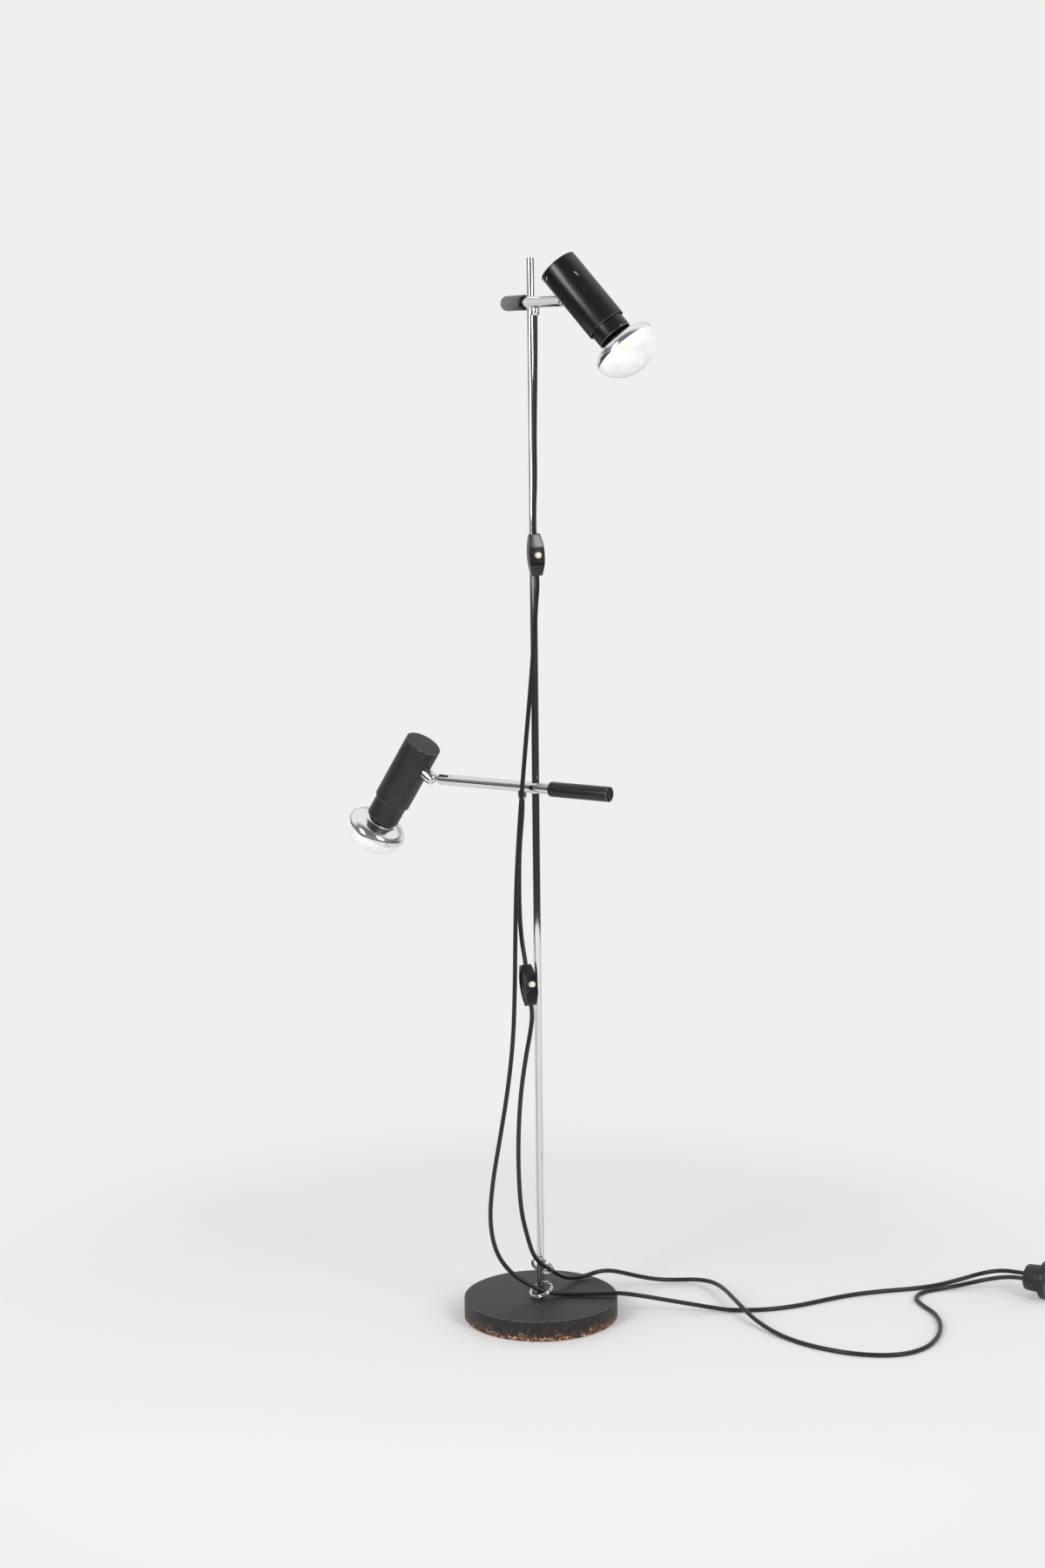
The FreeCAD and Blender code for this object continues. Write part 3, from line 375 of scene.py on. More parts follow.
@dataclass(frozen=True)
class BasePaint:
    """Satin black paint on cast iron: cloudy top, worn rim, chipped and rusted side, the side painted darker
    than the top as shade.
    """

    name: str
    height: float
    radius: float
    tint: Point = (0.0135, 0.0138, 0.0150)
    cloud_tint: Point = (0.0190, 0.0192, 0.0205)
    painted_side_shade: Point = (0.0075, 0.0078, 0.0072)
    grime: Point = (0.050, 0.055, 0.045)
    brown: Point = (0.085, 0.036, 0.020)
    rust: Point = (0.33, 0.125, 0.052)
    bare: Point = (0.68, 0.50, 0.36)
    rim: Point = (0.085, 0.075, 0.058)
    speck: Point = (0.11, 0.105, 0.10)

    def material(self) -> bpy.types.Material:
        """Builds the finish; heights are measured from the floor."""
        tree = Tree(self.name)
        x, y, z = tree.split()
        out = (x * x + y * y) ** 0.5
        side = out.step(self.radius - 0.0014, self.radius - 0.0006)
        cloud = tree.noise(24.0, 5.0, 0.62)
        grain = tree.noise(480.0, 4.0, 0.7)
        coarse = tree.noise(150.0, 3.0, 0.6)
        fleck = tree.noise(900.0, 2.0, 0.6)
        low = z.step(self.height * 0.66, self.height * 0.04)
        front = y.step(0.06, -0.08).blend(0.45, 1.0)
        amount = (grain * 0.62 + coarse * 0.38 + low * front * 0.12)
        brown = side * amount.step(0.565, 0.60)
        rust = side * amount.step(0.605, 0.635) * fleck.step(0.40, 0.50)
        bare = side * low * (amount + fleck * 0.25).step(0.80, 0.825)
        grime = side * tree.specks(620.0, 0.34, 0.20) * (1.0 - brown)
        crown = z.within(self.height, 0.0006, 0.0005) * out.step(self.radius - 0.0016, self.radius - 0.0010)
        specks = tree.specks(260.0, 0.2, 0.02).larger(tree.scratches(16.0, 0.006, 0.70)) * (1.0 - side)
        base = tree.colour(cloud.step(0.35, 0.75), self.tint, self.cloud_tint)
        # painted shade: the side takes a darker copy of the top's paint
        base = tree.colour(side, base, self.painted_side_shade)
        base = tree.colour(specks * 0.5, base, self.speck)
        base = tree.colour(grime * 0.8, base, self.grime)
        base = tree.colour(brown * 0.85, base, self.brown)
        base = tree.colour(rust, base, self.rust)
        base = tree.colour(crown * coarse.step(0.34, 0.56), base, self.rim)
        tree.feed(Base_Color=tree.colour(bare, base, self.bare), IOR=1.5,
                  Roughness=(cloud * 0.5 + grain * 0.5).blend(0.42, 0.56).larger(brown * 0.8))
        tree.bump(grain * 0.35 + (1.0 - brown) * 0.35 + (1.0 - bare) * 0.3, 0.00012, 0.6)
        return tree.material


@dataclass(frozen=True)
class Plating:
    """Bright plated or bare metal with faint wipe marks."""

    name: str
    tint: Point = (0.79, 0.79, 0.80)
    dull: Point = (0.60, 0.60, 0.61)
    rough: tuple[float, float] = (0.035, 0.11)
    marks: float = 0.35
    stretch: Point = (1.0, 1.0, 0.15)

    def material(self, place: Matrix | None = None) -> bpy.types.Material:
        """Builds the finish for a piece at a place."""
        tree = Tree(self.name, place)
        wipe = tree.noise(160.0, 4.0, 0.6, self.stretch)
        cloud = tree.noise(22.0, 3.0)
        tree.feed(Base_Color=tree.colour(wipe * self.marks, self.tint, self.dull), Metallic=1.0,
                  Roughness=(wipe * 0.6 + cloud * 0.4).blend(*self.rough))
        return tree.material


@dataclass(frozen=True)
class Moulding:
    """Moulded plastic with a slight skin and dust in its hollows."""

    name: str
    tint: Point
    dusty: Point
    rough: tuple[float, float]
    coat: float = 0.0
    skin: float = 0.00002

    def material(self, place: Matrix | None = None) -> bpy.types.Material:
        """Builds the finish for a piece at a place."""
        tree = Tree(self.name, place)
        skin = tree.noise(1500.0, 2.0)
        cloud = tree.noise(60.0, 4.0, 0.6)
        dust = tree.specks(900.0, 0.16, 0.06)
        tree.feed(Base_Color=tree.colour(cloud * 0.35 + dust * 0.65, self.tint, self.dusty),
                  Roughness=(cloud * 0.5 + skin * 0.5).blend(*self.rough), Coat_Weight=self.coat,
                  Coat_Roughness=0.12, IOR=1.5)
        tree.bump(skin, self.skin, 0.5)
        return tree.material


@dataclass(frozen=True)
class Sheath:
    """Flexible lead sheath: satin, with a faint grain and a little dust."""

    name: str
    tint: Point = (0.0075, 0.0075, 0.0078)
    dusty: Point = (0.030, 0.029, 0.028)

    def material(self) -> bpy.types.Material:
        """Builds the finish."""
        tree = Tree(self.name)
        grain = tree.noise(700.0, 3.0, 0.6)
        cloud = tree.noise(45.0, 3.0)
        dust = tree.specks(800.0, 0.2, 0.04)
        tree.feed(Base_Color=tree.colour(cloud * 0.25 + dust * 0.5, self.tint, self.dusty),
                  Roughness=(grain * 0.6 + cloud * 0.4).blend(0.30, 0.42), IOR=1.5)
        tree.bump(grain, 0.00002, 0.4)
        return tree.material


@dataclass(frozen=True)
class Felt:
    """Pressed felt."""

    name: str
    tint: Point = (0.018, 0.018, 0.019)
    fluff: Point = (0.06, 0.06, 0.062)

    def material(self) -> bpy.types.Material:
        """Builds the finish."""
        tree = Tree(self.name)
        fibre = tree.noise(1400.0, 5.0, 0.75)
        tree.feed(Base_Color=tree.colour(fibre.step(0.4, 0.75), self.tint, self.fluff), Roughness=0.95,
                  Sheen_Weight=0.3)
        tree.bump(fibre, 0.0003, 0.8)
        return tree.material


@dataclass(frozen=True)
class ReflectorGlass:
    """Blown bulb: mirrored from the neck to just past its widest ring, frosted in front of it, with a painted
    glow (emission) on the frosted front.
    """

    name: str
    edge: float
    silver: Point = (0.90, 0.90, 0.905)
    frost: Point = (0.80, 0.81, 0.81)
    warm_glow: Point = (0.95, 0.70, 0.52)
    silver_haze: Point = (0.82, 0.82, 0.83)
    frost_haze: Point = (0.66, 0.67, 0.68)
    light: Point = (0.9, 0.9, 0.9)
    emission: float = 0.14
    glow: float = 0.0
    glow_radius: float = 0.0385    # place of the glow: out from the axis, and in front of the edge
    glow_front: float = 0.0065

    def material(self, place: Matrix) -> bpy.types.Material:
        """Builds the finish; local Z runs from the neck to the front.

        Args:
            place: the bulb's local place, with its origin at the sleeve's mouth.

        Returns:
            The material.
        """
        tree = Tree(self.name, place)
        x, y, z = tree.split()
        ripple = tree.noise(34.0, 2.0)
        front = (z + ripple * 0.0006).step(self.edge - 0.0004, self.edge + 0.0004)
        haze = tree.noise(70.0, 4.0, 0.6)
        frost = tree.colour(haze.step(0.3, 0.8), self.frost, self.frost_haze)
        silver = tree.colour(haze, self.silver, self.silver_haze)
        # painted glow spot: a warm patch on the frosted front, on the side facing -Y, painted in base colour
        # and emission
        facing = place.to_3x3().inverted() @ Vector((0, -1, 0))
        spot = Vector((facing.x, facing.y)).normalized() * self.glow_radius
        near = ((x - spot.x) ** 2 + (y - spot.y) ** 2 + (z - self.edge - self.glow_front) ** 2) ** 0.5
        painted_glow_spot = near.step(0.009, 0.002) * front * self.glow
        painted_glow_colour = tree.colour(painted_glow_spot, self.light, self.warm_glow)
        # painted glow: the frosted front emits a faint pale light so that it reads near white
        tree.feed(Base_Color=tree.colour(front, silver, tree.colour(painted_glow_spot, frost, self.warm_glow)),
                  Metallic=1.0 - front, Roughness=front * 0.06 + haze * 0.06 + 0.13, IOR=1.5,
                  Emission_Color=tree.colour(front, (0.0, 0.0, 0.0), painted_glow_colour), Emission_Strength=self.emission)
        tree.bump(ripple, 0.0008, 0.12)
        return tree.material


PAINT = SatinPaint("satin_black_lacquer")
CHARCOAL = SatinPaint("charcoal_lacquer", tint=(0.0125, 0.0125, 0.0135), worn=(0.022, 0.021, 0.020),
                      chip=(0.36, 0.24, 0.16), rough=(0.42, 0.54), chips=0.05, scratched=0.66)
CHROME = Plating("bright_chrome", rough=(0.03, 0.075))
BALL_CHROME = Plating("ball_chrome", rough=(0.04, 0.09), stretch=(1.0, 1.0, 1.0))
STEEL = Plating("zinc_steel", tint=(0.52, 0.52, 0.53), dull=(0.36, 0.36, 0.36), rough=(0.25, 0.4))
BRASS = Plating("turned_brass", tint=(0.72, 0.50, 0.22), dull=(0.42, 0.28, 0.12), rough=(0.2, 0.35))
NICKEL = Plating("nickel_plate", tint=(0.66, 0.63, 0.57), dull=(0.45, 0.42, 0.38), rough=(0.12, 0.25))
BLACK_MOULDING = Moulding("black_moulding", (0.0055, 0.0055, 0.006), (0.018, 0.0175, 0.017), (0.16, 0.28),
                          coat=0.2)
CREAM_MOULDING = Moulding("cream_moulding", (0.80, 0.76, 0.66), (0.60, 0.54, 0.42), (0.22, 0.34), coat=0.3)
NYLON = Moulding("natural_nylon", (0.70, 0.69, 0.62), (0.50, 0.48, 0.40), (0.35, 0.5))
PLUG_MOULDING = Moulding("plug_moulding", (0.0085, 0.0085, 0.0095), (0.035, 0.034, 0.032), (0.34, 0.48),
                         skin=0.00005)
LEAD_SHEATH = Sheath("lead_sheath")
BASE_FELT = Felt("pressed_felt")


# ---- modelling ----------------------------------------------------------------------------------

Z_ALONG_X = Matrix(((0, 0, 1), (0, 1, 0), (-1, 0, 0))).to_4x4()     # turns local Z to the old local X


def rounded(corners: Sequence[tuple[float, float, float]], steps: int = 6) -> Profile:
    """Rounds the corners of an outline.

    Args:
        corners: (along, radius, rounding) in millimetres; a rounding of 0 keeps the corner.
        steps: points on each rounding.

    Returns:
        Points (along, radius) in metres.
    """
    points: Profile = []
    for index, (along, radius, rounding) in enumerate(corners):
        here = Vector((along, radius))
        if rounding <= 0 or index in (0, len(corners) - 1):
            points.append((along * MM, radius * MM))
            continue
        before = (Vector(corners[index - 1][:2]) - here).normalized()
        after = (Vector(corners[index + 1][:2]) - here).normalized()
        half = before.angle(after) / 2
        reach = rounding / math.tan(half)
        centre = here + (before + after).normalized() * (rounding / math.sin(half))
        start, end = here + before * reach - centre, here + after * reach - centre
        sweep = math.atan2(start.x * end.y - start.y * end.x, start.dot(end))
        for step in range(steps + 1):
            angle = sweep * step / steps
            turned_start = Vector((start.x * math.cos(angle) - start.y * math.sin(angle),
                                   start.x * math.sin(angle) + start.y * math.cos(angle)))
            point = centre + turned_start
            points.append((point.x * MM, max(point.y, 0.0) * MM))
    return points


def arc(middle: tuple[float, float], radius: float, start: float, end: float, steps: int) -> Profile:
    """Points on an arc of an outline.

    Args:
        middle: (along, radius) of its centre in millimetres.
        radius: its own radius.
        start: first angle in radians, from the direction away from the axis.
        end: last angle.
        steps: number of steps.

    Returns:
        Points (along, radius) in metres.
    """
    turns = [start + (end - start) * k / steps for k in range(steps + 1)]
    return [((middle[0] + radius * math.sin(t)) * MM, max(middle[1] + radius * math.cos(t), 0.0) * MM)
            for t in turns]


class Bench:
    """Models pieces with edit-mode operators, each ending with its place in its mesh."""

    @staticmethod
    def clear() -> None:
        """Leaves edit mode and deselects everything."""
        if bpy.context.object and bpy.context.object.mode == "EDIT":
            bpy.ops.object.mode_set(mode="OBJECT")
        bpy.ops.object.select_all(action="DESELECT")

    @classmethod
    def activate(cls, piece: bpy.types.Object) -> None:
        """Makes a piece the only selected one, and the active one."""
        cls.clear()
        piece.select_set(True)
        bpy.context.view_layer.objects.active = piece

    @classmethod
    def turned(cls, name: str, profile: Profile, segments: int = 72) -> bpy.types.Object:
        """Turns a piece about Z, ring by ring, from a circle that is extruded and scaled.

        Args:
            name: the piece's name.
            profile: (along, radius) points in metres; a loop when the last equals the first.
            segments: sides of each ring.

        Returns:
            The piece, closed where its profile ends on the axis.
        """
        cls.clear()
        least = 1e-5
        along, radius = profile[0]
        bpy.ops.mesh.primitive_circle_add(vertices=segments, radius=max(radius, least),
                                          location=(0, 0, along))
        piece = bpy.context.object
        piece.name = name
        bpy.ops.object.transform_apply(location=True, rotation=True, scale=True)
        bpy.ops.object.mode_set(mode="EDIT")
        bpy.ops.mesh.select_all(action="SELECT")
        last = max(radius, least)
        for next_along, next_radius in profile[1:]:
            bpy.ops.mesh.extrude_region_move(TRANSFORM_OT_translate={"value": (0, 0, next_along - along)})
            size = max(next_radius, least) / last
            if abs(size - 1) > 1e-9:
                bpy.ops.transform.resize(value=(size, size, 1), center_override=(0, 0, next_along))
            along, last = next_along, max(next_radius, least)
        bpy.ops.mesh.select_all(action="SELECT")
        bpy.ops.mesh.remove_doubles(threshold=2.5 * least)
        bpy.ops.mesh.normals_make_consistent(inside=False)
        bpy.ops.object.mode_set(mode="OBJECT")
        cls.smooth(piece)
        return piece

    @staticmethod
    def pick(piece: bpy.types.Object, kind: str, test: Callable[[Vector, Vector], bool]) -> None:
        """Selects points, edges or faces by their place, and leaves the piece in edit mode.

        Args:
            piece: the piece, which is the active object.
            kind: VERT, EDGE or FACE.
            test: tells from a point and its normal, from an edge's two ends, or from a face's
                middle and its normal, whether it is wanted.
        """
        if piece.mode != "EDIT":
            bpy.ops.object.mode_set(mode="EDIT")
        bpy.ops.mesh.select_mode(type=kind)
        bpy.ops.mesh.select_all(action="DESELECT")
        bpy.ops.object.mode_set(mode="OBJECT")
        mesh = piece.data
        if kind == "VERT":
            for vertex in mesh.vertices:
                vertex.select = test(vertex.co, vertex.normal)
        elif kind == "EDGE":
            for edge in mesh.edges:
                edge.select = test(*(mesh.vertices[index].co for index in edge.vertices))
        else:
            for face in mesh.polygons:
                face.select = test(face.center, face.normal)
        bpy.ops.object.mode_set(mode="EDIT")

    @classmethod
    def coil(cls, name: str, radius: float, wire: float, steps: int = 60) -> bpy.types.Object:
        """Winds a split ring: two level turns of wire, one on the other, joined by a short rise.

        Args:
            name: the piece's name.
            radius: radius to the middle of the wire.
            wire: radius of the wire.
            steps: steps in one turn.

        Returns:
            The ring about Z, level.
        """
        cls.clear()
        lift = wire * 0.97
        bpy.ops.mesh.primitive_circle_add(vertices=14, radius=wire * 0.98, fill_type="NGON",
                                          location=(radius, 0, -lift), rotation=(math.pi / 2, 0, 0))
        piece = bpy.context.object
        piece.name = name
        bpy.ops.object.transform_apply(location=True, rotation=True, scale=True)
        bpy.ops.object.mode_set(mode="EDIT")
        bpy.ops.mesh.select_all(action="SELECT")
        rise = max(steps // 12, 2)
        for step in range(2 * steps - rise - 1):
            bpy.ops.mesh.extrude_region_move()
            bpy.ops.transform.rotate(value=2 * math.pi / steps, orient_axis="Z", center_override=(0, 0, 0))
            past = step - (steps - rise)
            if 0 <= past < rise:
                ease = math.sin(math.pi * (past + 0.5) / rise) * math.sin(math.pi / (2 * rise))
                bpy.ops.transform.translate(value=(0, 0, 2 * lift * ease))
        bpy.ops.mesh.select_all(action="SELECT")
        bpy.ops.mesh.normals_make_consistent(inside=False)
        bpy.ops.object.mode_set(mode="OBJECT")
        cls.smooth(piece, 50)
        return piece

    @classmethod
    def recalculate(cls, piece: bpy.types.Object) -> None:
        """Merges a mesh's doubles and turns its faces outwards."""
        cls.activate(piece)
        bpy.ops.object.mode_set(mode="EDIT")
        bpy.ops.mesh.select_all(action="SELECT")
        bpy.ops.mesh.remove_doubles(threshold=1e-7)
        bpy.ops.mesh.normals_make_consistent(inside=False)
        bpy.ops.object.mode_set(mode="OBJECT")

    @classmethod
    def smooth(cls, piece: bpy.types.Object, degrees: float = 32.0) -> None:
        """Shades a piece smooth where its faces meet at less than an angle."""
        cls.activate(piece)
        bpy.ops.object.shade_smooth_by_angle(angle=math.radians(degrees))

    @classmethod
    def apply(cls, piece: bpy.types.Object, kind: str, **settings: object) -> None:
        """Adds a modifier with its settings and applies it."""
        cls.activate(piece)
        modifier = piece.modifiers.new(kind.title(), kind)
        for key, value in settings.items():
            setattr(modifier, key, value)
        bpy.ops.object.modifier_apply(modifier=modifier.name)

    @classmethod
    def place(cls, piece: bpy.types.Object, place: Matrix) -> bpy.types.Object:
        """Moves a piece to its place and writes the place into its mesh."""
        cls.activate(piece)
        piece.matrix_world = place
        bpy.ops.object.transform_apply(location=True, rotation=True, scale=True)
        return piece

    @classmethod
    def join(cls, name: str, pieces: Sequence[bpy.types.Object]) -> bpy.types.Object:
        """Joins meshes into one piece."""
        cls.clear()
        for piece in pieces:
            piece.select_set(True)
        bpy.context.view_layer.objects.active = pieces[0]
        bpy.ops.object.join()
        pieces[0].name = name
        return pieces[0]


def dress(piece: bpy.types.Object, material: bpy.types.Material, body: str,
          nodes: Sequence[str] = ()) -> bpy.types.Object:
    """Gives a new piece its finish, its body and the nodes that it stands for.

    Args:
        piece: the new piece.
        material: its finish.
        body: the body it rides on.
        nodes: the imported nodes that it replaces.

    Returns:
        The piece.
    """
    piece.data.materials.clear()
    piece.data.materials.append(material)
    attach(piece, body)
    if nodes:
        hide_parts(*nodes)
    LOG.info("%s rides on %s", piece.name, body)
    return piece


def coat_node(node: str, material: bpy.types.Material) -> None:
    """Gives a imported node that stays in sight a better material."""
    slots = frame["nodes"][node].material_slots
    for slot in slots:
        slot.material = material
    LOG.info("%s keeps its shape", node)


# ---- stand --------------------------------------------------------------------------------------


@dataclass
class Stand:
    """Weighted base, pole, its fixing and the two split rings at its foot. Sizes in millimetres."""

    base_radius: float = 101.0
    base_top: float = 27.0
    base_low: float = 0.6
    base_edge: float = 1.1
    recess_radius: float = 94.0
    recess_depth: float = 3.0
    pocket_radius: float = 17.0
    pocket_top: float = 14.0
    pole_radius: float = 5.0
    pole_top: float = 1373.0
    stud_radius: float = 4.0
    stud_low: float = 5.0
    ring_radius: float = 15.0
    wire_radius: float = 1.25
    rings: dict[Lamp, tuple[Point, float, float]] = field(default_factory=lambda: {
        Lamp.UPPER: ((2.5, -1.6, 67.5), 56.0, 57.0),
        Lamp.LOWER: ((0.5, -3.5, 35.6), 24.0, 210.0)})

    def build(self) -> None:
        """Builds all its pieces."""
        self.base()
        self.pole()
        self.ring_pair()
        coat_node("base_felt", BASE_FELT.material())
        coat_node("pole_washer", STEEL.material())
        coat_node("pole_nut", STEEL.material())

    def base(self) -> None:
        """The cast disc, with its rounded rim, felt recess and nut pocket."""
        low, top, radius = self.base_low, self.base_top, self.base_radius
        hole = self.stud_radius + 0.2
        profile = rounded([(self.pocket_top, hole, 0), (self.pocket_top, self.pocket_radius, 0),
                           (self.recess_depth, self.pocket_radius, 0.3),
                           (self.recess_depth, self.recess_radius, 0), (low, self.recess_radius, 0.3),
                           (low, radius, self.base_edge), (top, radius, self.base_edge), (top, 40.0, 0),
                           (top, hole, 0), (self.pocket_top, hole, 0)], 5)
        piece = Bench.turned("weighted_base", profile, 144)
        finish = BasePaint("base_paint", top * MM, radius * MM)
        dress(piece, finish.material(), "stand", ["base_disc"])

    def pole(self) -> None:
        """The rod with its chamfered top and the stud through the base."""
        profile = rounded([(self.stud_low, 0, 0), (self.stud_low, self.stud_radius, 0.4),
                           (self.base_top, self.stud_radius, 0), (self.base_top, self.pole_radius, 0.2),
                           (700.0, self.pole_radius, 0), (self.pole_top, self.pole_radius, 0.8),
                           (self.pole_top, 0, 0)], 4)
        dress(Bench.turned("chrome_pole", profile, 64), CHROME.material(), "stand", ["pole"])

    def ring_pair(self) -> None:
        """The split rings that gather the leads, each leaning on the pole."""
        metal = BALL_CHROME.material()
        for lamp, (centre, lean, azimuth) in self.rings.items():
            ring = Bench.coil(f"{lamp.value}_split_ring", self.ring_radius * MM, self.wire_radius * MM)
            turn = math.radians(azimuth)
            axis = Vector((-math.sin(turn), math.cos(turn), 0))
            place = Matrix.Translation(Vector(centre) * MM) @ Matrix.Rotation(math.radians(lean), 4, axis)
            dress(Bench.place(ring, place), metal, "stand", [f"{lamp.value}_cord_ring"])


# ---- arm ----------------------------------------------------------------------------------------


@dataclass
class Arm:
    """Cross arm of one lamp: tube, grip, end bush, lead outlet and the ball. Sizes in millimetres."""

    lamp: Lamp
    tube_radius: float = 7.0
    tube_bore: float = 5.6
    tail: float = 70.0
    tube_end: float = 147.2
    grip_radius: float = 9.75
    grip_start: float = 22.0
    grip_length: float = 88.0
    ball_reach: float = 161.0
    ball_radius: float = 7.75
    neck_radius: float = 3.2
    wire_way: float = 2.0
    outlet_reach: float = 20.3
    place: Matrix = field(init=False)

    def __post_init__(self) -> None:
        """Finds the arm's place from its joints."""
        hub = Vector(joint(f"{self.lamp.value}_swivel")["pos_m"])
        along = Vector(joint(f"{self.lamp.value}_roll")["axis"])
        self.place = axes(hub, along, Vector((0, 0, 1)))

    @property
    def along(self) -> Matrix:
        """Place of pieces turned about the arm: local Z from the pole to the ball."""
        return self.place @ Z_ALONG_X

    def named(self, *nodes: str) -> list[str]:
        """Node names of this lamp."""
        return [f"{self.lamp.value}_{node}" for node in nodes]

    def turned(self, name: str, corners: Sequence[tuple[float, float, float]], material: bpy.types.Material,
               slot: Slot, body: str = "arm", segments: int = 64) -> None:
        """Turns one piece about the arm and dresses it for the node of the same name."""
        piece = Bench.turned(f"{self.lamp.value}_{name}_piece", rounded(corners), segments)
        Bench.place(piece, self.along)
        dress(piece, material, f"{self.lamp.value}_{body}", self.named(name))

    def build(self) -> None:
        """Builds all its pieces."""
        radius, bore, end = self.tube_radius, self.tube_bore, self.tube_end
        self.turned("arm_tube", [(-self.tail, bore, 0), (-self.tail, radius, 0.2), (40.0, radius, 0),
                                 (end, radius, 0.6), (end, bore, 0), (-self.tail, bore, 0)],
                    CHROME.material(self.along), Slot.CHROME)
        start, back = -self.grip_start, -self.grip_start - self.grip_length
        wall = radius + 0.05
        self.turned("arm_grip", [(back, 0, 0), (back, 6.5, 0), (back, self.grip_radius, 0.6),
                                 (-60.0, self.grip_radius, 0), (start, self.grip_radius, 2.6),
                                 (start, wall, 0.3), (-self.tail - 0.3, wall, 0), (-self.tail - 0.3, 0, 0)],
                    PAINT.material(self.along, [(back + 0.3, self.grip_radius)]), Slot.PAINT)
        neck = self.neck_radius + 0.05
        self.turned("arm_end_plug", [(end - 9.0, neck, 0), (end - 9.0, bore - 0.05, 0), (end, bore - 0.05, 0),
                                     (end, radius - 0.6, 0.2), (end + 2.2, 4.8, 0.4), (end + 2.2, neck, 0),
                                     (end - 9.0, neck, 0)], BALL_CHROME.material(self.along), Slot.CHROME)
        self.ball()
        self.outlet()
        coat_node(f"{self.lamp.value}_pole_bush", NYLON.material())
        coat_node(f"{self.lamp.value}_brake_shoe", BRASS.material())
        coat_node(f"{self.lamp.value}_brake_screw", STEEL.material())

    def ball(self) -> None:
        """Ball, neck and retaining head, bored for the wires."""
        radius, neck, way = self.ball_radius, self.neck_radius, self.wire_way
        head_front = self.tube_end - 9.3
        corners = [(head_front - 3.0, way, 0), (head_front - 3.0, 4.6, 0.3), (head_front, 4.6, 0.3),
                   (head_front, neck, 0)]
        start = math.pi - math.asin(neck / radius)
        stop = math.asin(way / radius)
        for step in range(29):
            angle = start + (stop - start) * step / 28
            corners.append((self.ball_reach + radius * math.cos(angle), radius * math.sin(angle), 0))
        corners.append(corners[0])
        self.turned("ball_stud", corners, BALL_CHROME.material(self.along), Slot.CHROME, "ball")

    def outlet(self) -> None:
        """The little outlet under the arm that the lead comes out of."""
        radius, way = 5.75, self.wire_way
        top, low = -self.tube_radius * 0.62, -self.tube_radius - 9.0
        profile = rounded([(top, way, 0), (top, radius, 0), (low + 3.0, radius, 0.6), (low, 4.6, 0.5),
                           (low, way, 0), (top, way, 0)], 4)
        piece = Bench.turned(f"{self.lamp.value}_lead_outlet", profile, 48)
        place = self.place @ Matrix.Translation((self.outlet_reach * MM, 0, 0))
        dress(Bench.place(piece, place), BALL_CHROME.material(place), f"{self.lamp.value}_arm",
              self.named("cord_nipple"))


# ---- spot head ----------------------------------------------------------------------------------


